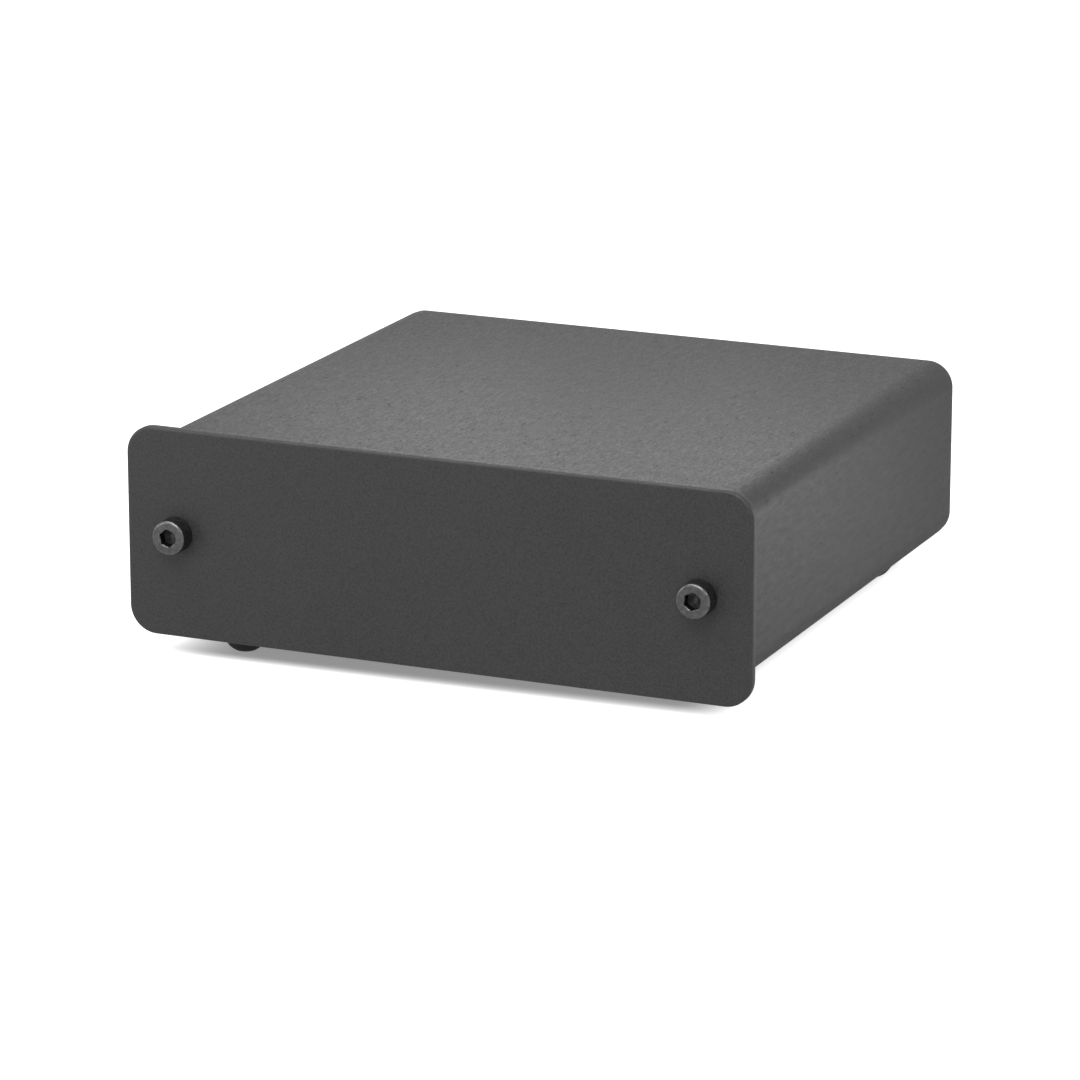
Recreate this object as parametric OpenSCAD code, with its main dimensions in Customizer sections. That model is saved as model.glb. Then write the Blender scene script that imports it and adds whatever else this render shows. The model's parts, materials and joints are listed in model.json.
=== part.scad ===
// Compact phono preamplifier in a sleeve case.
// The sleeve is clamped between an overhanging front panel and a rear panel by four cap screws,
// which pull on two hexagonal tie bars. The circuit board hangs below the bars on spacers,
// and carries the sockets, the power inlet and the gain selector that show at the rear.
// The case takes its width from the rear row and the bars, and its height from the board's stack.
// X is across the front with + to the right, Y runs from front to back, Z is up from the floor.

/* [Front panel] */
// Thickness of the front panel
panel_t = 1.5; // [1:0.1:3]
// Corner radius of the front panel
panel_r = 4.4; // [1:0.1:8]
// How far the front panel reaches beyond each side of the sleeve
panel_side = 2.4; // [0.5:0.1:6]
// How far the front panel reaches above the sleeve
panel_rise = 1.7; // [0.5:0.1:2.5]
// How far the front panel reaches below the sleeve
panel_drop = 2; // [0.5:0.1:2.5]

/* [Sleeve] */
// Length of the sleeve between the two panels
sleeve_len = 92.5; // [86:0.5:130]
// Outer corner radius of the sleeve
sleeve_r = 4.3; // [3:0.1:6]
// Wall of the sleeve
sleeve_wall = 1.2; // [1:0.1:1.8]

/* [Rear panel] */
// Thickness of the rear panel
rear_t = 1.5; // [1:0.1:2.5]
// How far the rear panel's edge lies inside the sleeve's outline
rear_inset = 0.1; // [0.05:0.05:0.6]

/* [Feet] */
// Height of a foot
foot_h = 5.1; // [4:0.1:8]
// Diameter of a foot where it is stuck on
foot_d = 11; // [10:0.5:13]
// Radius of the foot's domed tip
foot_tip_r = 3.6; // [3:0.1:4]
// Diameter of the flat that stands on the floor
foot_flat_d = 3.3; // [2:0.1:4]
// Distance from the sleeve's side to a front foot's centre
front_foot_side = 13.6; // [9:0.1:18]
// Distance from the front panel to the front left foot's centre
front_foot_end = 6.4; // [6:0.1:16]
// How much further back the front right foot is stuck on
front_foot_lag = 4; // [0:0.1:6]
// Distance from the sleeve's side to a rear foot's centre
rear_foot_side = 10.1; // [9:0.1:18]
// Distance from the rear panel to a rear foot's centre
rear_foot_end = 8.2; // [6:0.1:16]

/* [Case screws] */
// Diameter of a screw's head
head_d = 5.5; // [5:0.1:6]
// Height of a screw's head
head_h = 3; // [2:0.1:4]
// Width of the hexagonal socket across its flats
socket_hex = 2.5; // [2:0.1:3]
// Depth of the hexagonal socket
socket_hex_depth = 1.5; // [1:0.1:1.8]
// Diameter of a screw's shank
screw_d = 3; // [2.5:0.1:3.2]
// Length of a screw below its head
screw_len = 8; // [5:0.5:12]
// Width of the chamfer round a screw head's rim
head_chamfer = 0.35; // [0.1:0.05:0.6]

/* [Tie bars] */
// Width of a tie bar across its flats
bar_hex = 7; // [6:0.1:7.2]
// Room between the rear row and a tie bar, whose half width is taken across its flats
bar_row_gap = 3.4; // [1:0.1:12]
// Room between a tie bar and the sleeve's side, counted the same way
bar_wall_gap = 1.25; // [0.8:0.05:4]
// How much shorter than the sleeve a tie bar is, so that the sleeve is clamped
bar_short = 0.2; // [0.1:0.05:0.5]
// Depth of the threaded hole in each end
bar_hole_depth = 10; // [9:0.5:14]

/* [Circuit board] */
// Gap between the circuit board and each side of the sleeve
board_side_gap = 2; // [1:0.1:2.4]
// Gap between the front panel and the circuit board
board_front_gap = 7.1; // [3:0.1:10]
// Room between the sleeve's bottom and the circuit board
board_lift = 3; // [2.2:0.1:6]
// Thickness of the circuit board
board_t = 1.6; // [1:0.1:1.8]
// Gap between the circuit board and the rear panel
board_gap = 0.6; // [0.3:0.1:1.5]
// Distance from each end of the circuit board to its fixing screws
board_screw_inset = 12; // [9:0.5:18]
// Outer diameter of a spacer
spacer_d = 5.5; // [4.5:0.1:5.6]
// How far a fixing screw reaches into the tie bar
board_screw_grip = 2.8; // [2:0.1:3]
// Height of a fixing screw's head
board_head_h = 1.8; // [1:0.1:2]
// How much deeper than that the tie bar's threaded hole is
board_hole_spare = 0.6; // [0.3:0.1:1]

/* [Phono sockets] */
// Height of the sockets' axis above the circuit board
socket_axis_h = 8.5; // [8:0.1:8.8]
// Distance between the two sockets of a pair
socket_pitch = 13; // [12.5:0.1:13.4]
// How far a socket stands out behind the rear panel
socket_reach = 9.5; // [8:0.1:11]
// Outer diameter of a socket's shell
shell_d = 8.3; // [8:0.05:8.4]
// Wall of a socket's shell
shell_wall = 0.8; // [0.6:0.05:1]
// Depth of the chamfer at a shell's mouth
shell_chamfer = 0.3; // [0.1:0.05:0.5]
// Length of the shell inside the housing
shell_root = 7; // [5:0.5:8]
// How much the shell's radius grows at its root, inside the rear panel's outer face
shell_step = 0.25; // [0.1:0.05:0.3]
// How far the insulator lies below the shell's mouth
insulator_recess = 0.5; // [0.2:0.1:1.5]
// Outer diameter of the centre contact
contact_d = 4.1; // [4:0.05:4.3]
// Bore of the centre contact
contact_bore = 3.3; // [3.2:0.05:3.4]
// How far the contact lies below the insulator's face
contact_recess = 0.4; // [0.2:0.1:1]
// Width of the slits that make the contact springy
contact_slit = 0.4; // [0.2:0.05:0.5]
// Length of those slits
contact_slit_len = 5; // [3:0.5:7]

/* [Solder pins] */
// Diameter of a solder pin
pin_d = 1; // [0.6:0.1:1.2]
// How far a solder pin stands below the circuit board
pin_reach = 1.2; // [0.8:0.1:1.6]

/* [Socket housings] */
// Width of the plastic beside the outer collar of a pair
housing_side = 1; // [0.5:0.1:3]
// Height of the plastic above the collars
housing_top = 2.5; // [2:0.1:6]
// Room between a housing and the sleeve's top
head_room = 6.3; // [4:0.1:12]
// Depth of a housing from front to back
housing_depth = 10; // [9.5:0.5:12]
// Wall of a housing
housing_wall = 1.4; // [1:0.1:1.8]
// Diameter of the collar round a socket, which fills the rear panel's hole
collar_d = 10; // [9.6:0.1:10.4]
// Diameter of the fixing screw's head
socket_screw_head_d = 4.6; // [4:0.1:5]
// Height of the fixing screw's head
socket_screw_head_h = 1.8; // [1:0.1:2.5]
// Diameter of the fixing screw's shank
socket_screw_d = 2.6; // [2:0.1:2.8]
// Length of the fixing screw below its head
socket_screw_len = 8; // [5:0.5:9]

/* [Power inlet] */
// Width of the inlet's body
inlet_w = 9; // [8.8:0.1:9.2]
// Height of the inlet's body
inlet_h = 11; // [10.8:0.1:12]
// Depth of the inlet's body from front to back
inlet_depth = 13.5; // [12.5:0.5:16]
// Height of the inlet's axis above the circuit board
inlet_axis_h = 6.4; // [6:0.1:6.5]
// Diameter of the collar that fills the rear panel's hole
inlet_collar_d = 8.4; // [8:0.1:8.6]
// Bore that takes the plug's barrel
inlet_bore = 6.3; // [6:0.1:6.5]
// Depth of that bore
inlet_bore_depth = 10; // [9:0.5:11]
// Diameter of the centre pin
inlet_pin_d = 2.1; // [1.7:0.1:2.5]
// How far the centre pin's tip lies below the mouth
inlet_pin_recess = 0.8; // [0.5:0.1:2]

/* [Gain selector] */
// Width of the selector's frame
selector_w = 12; // [11.6:0.1:12.6]
// Height of the selector's frame
selector_h = 6; // [5.6:0.1:6.5]
// Depth of the selector's frame
selector_depth = 5.5; // [5:0.1:7]
// Wall of the selector's frame
selector_wall = 0.6; // [0.4:0.05:0.7]
// Travel of the slider
selector_travel = 3; // [2:0.1:3.4]
// Width of the slider's knob
knob_w = 2.6; // [2:0.1:3]
// Height of the slider's knob
knob_h = 3; // [2:0.1:3.2]
// How far the knob stands out behind the rear panel
knob_reach = 3.2; // [2:0.1:5]
// Number of grip ridges on the knob
knob_ridges = 3; // [2:1:4]
// Depth of the grooves between the ridges
knob_groove = 0.3; // [0.1:0.05:0.4]
// Distance between two of the selector's solder pins
selector_pin_pitch = 2.5; // [2:0.1:4]

/* [Ground terminal] */
// Distance from the ground terminal's axis to the inside of the sleeve's top
ground_top_room = 6.6; // [5:0.1:7.5]
// Diameter of the stud
stud_d = 4; // [3.8:0.1:4.2]
// How far the stud stands out behind the rear panel
stud_reach = 12; // [11.8:0.1:15]
// How far the stud stands in front of the rear panel, inside the case
stud_root = 5; // [4:0.1:8]
// Width of the fixing nuts across their flats
fixing_nut_hex = 7; // [6.5:0.1:7.2]
// Thickness of the fixing nut inside the case
inner_nut_t = 2.4; // [2:0.1:3.2]
// Thickness of the fixing nut behind the rear panel
outer_nut_t = 1.8; // [1.5:0.1:2]
// Diameter of the clamp washer
washer_d = 8.6; // [8:0.1:9]
// Thickness of the clamp washer
washer_t = 0.8; // [0.5:0.1:1]
// Diameter of the thumb nut over its knurl
thumb_d = 9; // [8:0.1:9.4]
// Thickness of the thumb nut
thumb_t = 5; // [4:0.1:5]
// Number of grooves in the thumb nut's knurl
knurl_count = 32; // [16:2:40]
// Depth of a knurl groove
knurl_depth = 0.35; // [0.15:0.05:0.4]
// Diameter of the plain shoulder at the thumb nut's outer end
thumb_shoulder_d = 7; // [6:0.1:7.4]
// Thickness of that shoulder
thumb_shoulder_t = 0.8; // [0.4:0.1:1.2]

/* [Parts on the board] */
// Diameter of a supply capacitor
supply_cap_d = 10; // [8:0.5:11]
// Height of a supply capacitor
supply_cap_h = 12.5; // [10:0.5:13]
// Diameter of a coupling capacitor
coupling_cap_d = 6.3; // [5:0.1:8]
// Height of a coupling capacitor
coupling_cap_h = 11; // [7:0.5:12]
// Width of the rubber seal's crimp groove
crimp_w = 0.9; // [0.5:0.1:1.2]
// Depth of the crimp groove
crimp_depth = 0.35; // [0.2:0.05:0.5]
// Length of a film capacitor
film_cap_len = 7.2; // [5:0.1:8]
// Width of a film capacitor
film_cap_w = 3.5; // [2.5:0.1:5]
// Height of a film capacitor
film_cap_h = 7.5; // [5:0.1:9]
// Length of a chip
chip_len = 9.8; // [9.4:0.1:10.2]
// Width of a chip
chip_w = 6.4; // [6:0.1:6.8]
// Thickness of a chip's body
chip_t = 3.3; // [3:0.1:3.6]
// Height of a chip's body above the board
chip_lift = 0.6; // [0.4:0.1:1]
// Distance between two legs of a chip
chip_leg_pitch = 2.54; // [2.5:0.02:2.6]
// Width of a chip's leg
chip_leg_w = 0.5; // [0.3:0.05:0.8]
// Thickness of a chip's leg
chip_leg_t = 0.3; // [0.2:0.05:0.5]
// Diameter of a regulator's body
regulator_d = 4.8; // [4:0.1:5.2]
// Height of a regulator's body
regulator_h = 4.8; // [4:0.1:5.2]
// Height of a regulator's body above the board
regulator_lift = 2; // [1:0.1:4]
// Side of the rectifier bridge
rectifier_w = 7; // [6:0.1:8]
// Thickness of the rectifier bridge
rectifier_t = 3.2; // [2.5:0.1:4]
// Outer diameter of the ring choke
choke_d = 9.5; // [8:0.1:10]
// Inner diameter of the ring choke
choke_bore = 4.5; // [3.5:0.1:5]
// Thickness of the ring choke
choke_t = 4; // [3:0.1:5]
// Length of a resistor's body
resistor_len = 6.3; // [5:0.1:6.8]
// Diameter of a resistor's body
resistor_d = 2.3; // [1.8:0.1:2.5]
// Distance between a resistor's two lead ends
resistor_span = 10; // [9.5:0.1:10.5]
// Diameter of a resistor's lead
lead_d = 0.6; // [0.4:0.05:0.8]
// Number of resistors in each of the four rows
resistors_in_row = 4; // [2:1:4]
// Distance between two resistors of a row
resistor_pitch = 3.6; // [3.2:0.1:3.8]

/* [Clearances] */
// Radial gap of a screw or stud in a hole that it passes through
hole_gap = 0.15; // [0.1:0.05:0.25]
// Radial gap of a thread or of a part set in its seat
seat_gap = 0.05; // [0.02:0.01:0.08]
// Gap round the slider
slide_gap = 0.3; // [0.2:0.05:0.35]
// Gap between two neighbours along the rear row
row_gap = 0.5; // [0.3:0.1:0.6]

/* [Hidden] */
$fn = 64;

// Overrun of every cut past the face that it goes through
cut = 0.5;
// Height of the straight rim at a foot's top
foot_rim = 0.6;
// Diameter of a leg, a pad or a lead of the small parts, as a share of the body
leg_share = 0.12;
// Places on the board, as shares of its width from the middle and of its length from the front
supply_cap_shares = [0.17, 0.16];
input_cap_shares = [0.33, 0.66];
output_cap_shares = [0.33, 0.54];
bass_film_shares = [0.05, 0.64];
treble_film_shares = [0.05, 0.46];
chip_shares = [0.2, 0.6];
regulator_shares = [0.32, 0.2];
rectifier_shares = [-0.01, 0.3];
choke_shares = [-0.01, 0.12];
resistor_row_shares = [[0.16, 0.34], [0.31, 0.34]];
// Solder pins of the power inlet, as shares of its width from the middle and of its depth from the front
inlet_pin_shares = [[0, 0.08], [-0.38, 0.55], [0.38, 0.55]];
// Half the angle between the flanks of a knurl groove
knurl_half_angle = 45;

// Heights
sleeve_z = foot_h;
board_z = sleeve_z + sleeve_wall + board_lift;
board_top = board_z + board_t;
socket_z = board_top + socket_axis_h;
housing_h = socket_axis_h + collar_d / 2 + housing_top;
sleeve_h = board_top + housing_h + head_room + sleeve_wall - sleeve_z;
sleeve_mid_z = sleeve_z + sleeve_h / 2;
panel_h = panel_drop + sleeve_h + panel_rise;
bar_z = sleeve_z - panel_drop + panel_h / 2;
socket_screw_z = board_top + housing_h - socket_screw_d / 2 - housing_wall;
ground_z = sleeve_z + sleeve_h - sleeve_wall - ground_top_room;
inlet_z = board_top + inlet_axis_h;

// Depths, from the front panel's face
rear_inner = panel_t + sleeve_len;
rear_outer = rear_inner + rear_t;
board_rear = rear_inner - board_gap;
board_front = panel_t + board_front_gap;
board_d = board_rear - board_front;
total_depth = head_h + rear_outer + max(stud_reach, socket_reach);
front_y = head_h - total_depth / 2;
board_screw_rows = [board_front + board_screw_inset, board_rear - board_screw_inset];
front_foot_y = panel_t + front_foot_end;
rear_foot_y = rear_inner - rear_foot_end;

// The rear row, from left to right seen from the front
housing_w = socket_pitch + collar_d + 2 * housing_side;
row_w = inlet_w + 2 * housing_w + selector_w + 3 * row_gap;
inlet_x = inlet_w / 2 - row_w / 2;
input_x = inlet_x + inlet_w / 2 + row_gap + housing_w / 2;
selector_x = input_x + housing_w / 2 + row_gap + selector_w / 2;
output_x = selector_x + selector_w / 2 + row_gap + housing_w / 2;
input_left_x = input_x - socket_pitch / 2;
input_right_x = input_x + socket_pitch / 2;
output_left_x = output_x - socket_pitch / 2;
output_right_x = output_x + socket_pitch / 2;

// Widths, from the middle outwards
bar_x = row_w / 2 + bar_row_gap + bar_hex / 2;
sleeve_in_w = 2 * bar_x + bar_hex + 2 * bar_wall_gap;
sleeve_w = sleeve_in_w + 2 * sleeve_wall;
panel_w = sleeve_w + 2 * panel_side;
board_w = sleeve_in_w - 2 * board_side_gap;
front_foot_x = sleeve_w / 2 - front_foot_side;
rear_foot_x = sleeve_w / 2 - rear_foot_side;

// Radii that follow from the sizes above
screw_r = screw_d / 2;
thread_r = screw_r + seat_gap;
screw_hole_r = screw_r + hole_gap;
spacer_len = bar_z - bar_hex / 2 - board_top;
board_screw_len = board_t + spacer_len + board_screw_grip;
shell_r = shell_d / 2;
shell_bore_r = shell_r - shell_wall;
shell_root_r = shell_r + shell_step;
insulator_r = shell_bore_r - seat_gap;
contact_r = contact_d / 2;
shell_start = rear_inner - shell_root;
shell_end = rear_outer + socket_reach;
insulator_end = shell_end - insulator_recess;
contact_end = insulator_end - contact_recess;
stud_r = stud_d / 2;
washer_start = rear_outer + outer_nut_t;
thumb_start = washer_start + washer_t;
knob_room_w = knob_w + selector_travel + 2 * slide_gap;
knob_room_h = knob_h + 2 * slide_gap;
selector_z = board_top + selector_h / 2;
slider_rest_x = selector_x - selector_travel / 2;

// Solder pins: two below each socket, three each below the power inlet and the gain selector
socket_pin_spots = [
    for (x = [input_left_x, input_right_x, output_left_x, output_right_x], side = [-1, 1])
        [x + side * shell_r / 2, rear_inner - housing_depth / 2]
];
inlet_pin_spots = [
    for (share = inlet_pin_shares)
        [inlet_x + share[0] * inlet_w, rear_inner + (share[1] - 1) * inlet_depth]
];
selector_pin_spots = [
    for (i = [-1, 0, 1])
        [selector_x + i * selector_pin_pitch, rear_inner - selector_depth / 2]
];
solder_spots = concat(socket_pin_spots, inlet_pin_spots, selector_pin_spots);

// Moves a piece from the panel's face to the middle of the whole object
module place() {
    translate([0, front_y, 0]) children();
}

// A flat outline stood up across the case and given a length towards the back
module along_y(start, length) {
    translate([0, start + length, 0]) rotate([90, 0, 0]) linear_extrude(length) children();
}

// A round rod or a cut, parallel to the case's length
module rod_y(x, z, start, length, r) {
    translate([x, start, z]) rotate([-90, 0, 0]) cylinder(h = length, r = r);
}

// A hexagonal rod parallel to the case's length, with a flat below
module hex_y(x, z, start, length, across) {
    translate([x, start, z]) rotate([-90, 0, 0]) cylinder(h = length, r = across / 2 / cos(30), $fn = 6);
}

// A rectangle with round corners, about the origin
module rounded_outline(w, h, r) {
    square([w - 2 * r, h], center = true);
    square([w, h - 2 * r], center = true);
    for (sx = [-1, 1], sy = [-1, 1])
        translate([sx * (w / 2 - r), sy * (h / 2 - r)]) circle(r);
}

// A box given by its middle in X and by its low corner in Y and Z
module block(x, y, z, w, d, h) {
    translate([x - w / 2, y, z]) cube([w, d, h]);
}

// A place on the board from its shares
function board_spot(shares, side) = [
    side * board_w * shares[0],
    board_front + board_d * shares[1],
    board_top
];

module sleeve() {
    color("#3b3b3d") place() difference() {
        along_y(panel_t, sleeve_len)
            translate([0, sleeve_mid_z]) rounded_outline(sleeve_w, sleeve_h, sleeve_r);
        along_y(panel_t - cut, sleeve_len + 2 * cut)
            translate([0, sleeve_mid_z])
                rounded_outline(sleeve_in_w, sleeve_h - 2 * sleeve_wall, sleeve_r - sleeve_wall);
    }
}

module front_panel() {
    color("#2e2e30") place() difference() {
        along_y(0, panel_t)
            translate([0, bar_z]) rounded_outline(panel_w, panel_h, panel_r);
        for (side = [-1, 1])
            rod_y(side * bar_x, bar_z, -cut, panel_t + 2 * cut, screw_hole_r);
    }
}

// Every hole in the rear panel, sized from the piece that passes through it
module rear_holes() {
    through = rear_t + 2 * cut;
    start = rear_inner - cut;
    for (side = [-1, 1])
        rod_y(side * bar_x, bar_z, start, through, screw_hole_r);
    for (x = [input_left_x, input_right_x, output_left_x, output_right_x])
        rod_y(x, socket_z, start, through, collar_d / 2 + hole_gap);
    for (x = [input_x, output_x])
        rod_y(x, socket_screw_z, start, through, socket_screw_d / 2 + hole_gap);
    rod_y(inlet_x, inlet_z, start, through, inlet_collar_d / 2 + hole_gap);
    rod_y(selector_x, ground_z, start, through, stud_r + hole_gap);
    block(
        selector_x, start, selector_z - knob_room_h / 2,
        knob_room_w, through, knob_room_h
    );
}

module rear_panel() {
    color("#2e2e30") place() difference() {
        along_y(rear_inner, rear_t)
            translate([0, sleeve_mid_z])
                rounded_outline(
                    sleeve_w - 2 * rear_inset,
                    sleeve_h - 2 * rear_inset,
                    sleeve_r - rear_inset
                );
        rear_holes();
    }
}

// A socket-head cap screw whose head stands on the plane Z = 0 and whose shank points down
module cap_screw() {
    difference() {
        union() {
            cylinder(h = head_h - head_chamfer, d = head_d);
            translate([0, 0, head_h - head_chamfer])
                cylinder(h = head_chamfer, d1 = head_d, d2 = head_d - 2 * head_chamfer);
            translate([0, 0, -screw_len]) cylinder(h = screw_len + cut, r = screw_r);
        }
        translate([0, 0, head_h - socket_hex_depth])
            cylinder(h = socket_hex_depth + cut, r = socket_hex / 2 / cos(30), $fn = 6);
    }
}

module front_screws() {
    color("#1c1c1e") place()
        for (side = [-1, 1])
            translate([side * bar_x, 0, bar_z]) rotate([90, 0, 0]) rotate([0, 0, 30]) cap_screw();
}

module rear_screws() {
    color("#1c1c1e") place()
        for (side = [-1, 1])
            translate([side * bar_x, rear_outer, bar_z]) rotate([-90, 0, 0]) rotate([0, 0, 30]) cap_screw();
}

module tie_bar(side) {
    bar_len = sleeve_len - bar_short;
    difference() {
        hex_y(side * bar_x, bar_z, panel_t, bar_len, bar_hex);
        rod_y(side * bar_x, bar_z, panel_t - cut, bar_hole_depth + cut, thread_r);
        rod_y(
            side * bar_x, bar_z, panel_t + bar_len - bar_hole_depth,
            bar_hole_depth + cut, thread_r
        );
        for (y = board_screw_rows)
            translate([side * bar_x, y, bar_z - bar_hex / 2 - cut])
                cylinder(h = board_screw_grip + board_hole_spare + cut, r = thread_r);
    }
}

module left_tie_bar() {
    color("#b9bbbe") place() tie_bar(-1);
}

module right_tie_bar() {
    color("#b9bbbe") place() tie_bar(1);
}

// Half of a foot's section: a round tip, a tangent cone and a short rim, cut flat where it stands.
// The cone leaves the tip where the tip's radius is square to the cone.
module foot_profile() {
    tip_z = sqrt(pow(foot_tip_r, 2) - pow(foot_flat_d / 2, 2));
    rim_z = foot_h - foot_rim;
    reach = sqrt(pow(foot_d / 2, 2) + pow(rim_z - tip_z, 2));
    lean = atan2(rim_z - tip_z, foot_d / 2) - acos(foot_tip_r / reach);
    intersection() {
        union() {
            translate([0, tip_z]) circle(foot_tip_r);
            polygon([
                [0, tip_z],
                [foot_tip_r * cos(lean), tip_z + foot_tip_r * sin(lean)],
                [foot_d / 2, rim_z],
                [foot_d / 2, foot_h],
                [0, foot_h]
            ]);
        }
        square([foot_d, foot_h]);
    }
}

module foot(x, y) {
    translate([x, y, 0]) rotate_extrude() foot_profile();
}

module front_left_foot() {
    color("#151515") place() foot(-front_foot_x, front_foot_y);
}

module front_right_foot() {
    color("#151515") place() foot(front_foot_x, front_foot_y + front_foot_lag);
}

module rear_left_foot() {
    color("#151515") place() foot(-rear_foot_x, rear_foot_y);
}

module rear_right_foot() {
    color("#151515") place() foot(rear_foot_x, rear_foot_y);
}

module at_solder_pins() {
    for (spot = solder_spots) translate([spot[0], spot[1], board_z - pin_reach]) children();
}

module circuit_board() {
    color("#1f5a3a") place() difference() {
        block(0, board_front, board_z, board_w, board_d, board_t);
        for (side = [-1, 1], y = board_screw_rows)
            translate([side * bar_x, y, board_z - cut])
                cylinder(h = board_t + 2 * cut, r = screw_hole_r);
        at_solder_pins() cylinder(h = pin_reach + board_t + cut, r = pin_d / 2 + seat_gap, $fn = 24);
    }
}

module board_spacers() {
    color("#c9c9c6") place()
        for (side = [-1, 1], y = board_screw_rows)
            translate([side * bar_x, y, board_top]) difference() {
                cylinder(h = spacer_len, d = spacer_d);
                translate([0, 0, -cut]) cylinder(h = spacer_len + 2 * cut, r = screw_hole_r);
            }
}

// A pan-head screw with a crossed recess, head below the plane Z = 0 and shank upwards
module pan_screw(head_diameter, head_height, shank_r, length) {
    recess_w = head_diameter * leg_share;
    difference() {
        union() {
            translate([0, 0, -head_height]) cylinder(h = head_height, d = head_diameter);
            translate([0, 0, -head_height / 2]) cylinder(h = length + head_height / 2, r = shank_r);
        }
        for (turn = [0, 90])
            rotate([0, 0, turn])
                translate([-head_diameter / 4, -recess_w / 2, -head_height - cut])
                    cube([head_diameter / 2, recess_w, head_height / 2 + cut]);
    }
}

module board_screws() {
    color("#9a9a9a") place()
        for (side = [-1, 1], y = board_screw_rows)
            translate([side * bar_x, y, board_z])
                pan_screw(spacer_d, board_head_h, screw_r, board_screw_len);
}

// A moulded block for one pair of sockets, open towards the front of the case
module socket_housing(x) {
    boss_r = collar_d / 2;
    post_r = socket_screw_d / 2 + housing_wall;
    back = rear_inner - housing_depth;
    difference() {
        union() {
            difference() {
                block(x, back, board_top, housing_w, housing_depth, housing_h);
                block(
                    x, back - cut, board_top + housing_wall,
                    housing_w - 2 * housing_wall,
                    housing_depth - housing_wall + cut,
                    housing_h - 2 * housing_wall
                );
            }
            for (side = [-1, 1])
                rod_y(
                    x + side * socket_pitch / 2, socket_z, rear_inner - shell_root - housing_wall,
                    shell_root + housing_wall + rear_t, boss_r
                );
            rod_y(x, socket_screw_z, back, housing_depth, post_r);
        }
        for (side = [-1, 1])
            rod_y(
                x + side * socket_pitch / 2, socket_z, shell_start,
                shell_root + rear_t + cut, shell_root_r + seat_gap
            );
        rod_y(
            x, socket_screw_z, rear_inner - socket_screw_len,
            socket_screw_len + cut, socket_screw_d / 2 + seat_gap
        );
    }
}

module input_socket_housing() {
    color("#202022") place() socket_housing(input_x);
}

module output_socket_housing() {
    color("#202022") place() socket_housing(output_x);
}

module socket_screws() {
    color("#1c1c1e") place()
        for (x = [input_x, output_x])
            translate([x, rear_outer, socket_screw_z]) rotate([90, 0, 0])
                pan_screw(socket_screw_head_d, socket_screw_head_h, socket_screw_d / 2, socket_screw_len);
}

module solder_pins() {
    color("#c8c8c8") place()
        at_solder_pins() cylinder(h = pin_reach + board_t, r = pin_d / 2, $fn = 24);
}

// The plated barrel that a phono plug's sleeve grips, with a thicker root in the housing's collar
module socket_shell(x) {
    length = shell_end - shell_start;
    translate([x, shell_start, socket_z]) rotate([-90, 0, 0]) difference() {
        union() {
            cylinder(h = shell_root + rear_t, r = shell_root_r);
            cylinder(h = length - shell_chamfer, r = shell_r);
            translate([0, 0, length - shell_chamfer])
                cylinder(h = shell_chamfer, r1 = shell_r, r2 = shell_r - shell_chamfer);
        }
        translate([0, 0, -cut]) cylinder(h = length + 2 * cut, r = shell_bore_r);
    }
}

module socket_insulator(x) {
    difference() {
        rod_y(x, socket_z, shell_start, insulator_end - shell_start, insulator_r);
        rod_y(
            x, socket_z, shell_start + housing_wall,
            insulator_end - shell_start, contact_r + seat_gap
        );
    }
}

// The tube that grips a plug's centre pin, slit in four at its mouth
module socket_contact(x) {
    start = shell_start + housing_wall;
    difference() {
        rod_y(x, socket_z, start, contact_end - start, contact_r);
        rod_y(x, socket_z, start + housing_wall, contact_end - start, contact_bore / 2);
        translate([x - contact_slit / 2, contact_end - contact_slit_len, socket_z - contact_d])
            cube([contact_slit, contact_slit_len + cut, 2 * contact_d]);
        translate([x - contact_d, contact_end - contact_slit_len, socket_z - contact_slit / 2])
            cube([2 * contact_d, contact_slit_len + cut, contact_slit]);
    }
}

module input_left_shell() {
    color("#c9a24a") place() socket_shell(input_left_x);
}

module input_left_insulator() {
    color("#e8e6e0") place() socket_insulator(input_left_x);
}

module input_left_contact() {
    color("#c9a24a") place() socket_contact(input_left_x);
}

module input_right_shell() {
    color("#c9a24a") place() socket_shell(input_right_x);
}

module input_right_insulator() {
    color("#a51d1d") place() socket_insulator(input_right_x);
}

module input_right_contact() {
    color("#c9a24a") place() socket_contact(input_right_x);
}

module output_left_shell() {
    color("#c9a24a") place() socket_shell(output_left_x);
}

module output_left_insulator() {
    color("#e8e6e0") place() socket_insulator(output_left_x);
}

module output_left_contact() {
    color("#c9a24a") place() socket_contact(output_left_x);
}

module output_right_shell() {
    color("#c9a24a") place() socket_shell(output_right_x);
}

module output_right_insulator() {
    color("#a51d1d") place() socket_insulator(output_right_x);
}

module output_right_contact() {
    color("#c9a24a") place() socket_contact(output_right_x);
}

module power_inlet() {
    color("#202022") place() difference() {
        union() {
            block(inlet_x, rear_inner - inlet_depth, board_top, inlet_w, inlet_depth, inlet_h);
            rod_y(inlet_x, inlet_z, rear_inner - cut, rear_t + cut, inlet_collar_d / 2);
        }
        rod_y(
            inlet_x, inlet_z, rear_outer - inlet_bore_depth,
            inlet_bore_depth + cut, inlet_bore / 2
        );
        rod_y(
            inlet_x, inlet_z, rear_inner - inlet_depth - cut,
            inlet_depth + cut, inlet_pin_d / 2 + seat_gap
        );
    }
}

module power_inlet_pin() {
    start = rear_inner - inlet_depth;
    color("#d0d0d0") place()
        rod_y(inlet_x, inlet_z, start, rear_outer - inlet_pin_recess - start, inlet_pin_d / 2);
}

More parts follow.
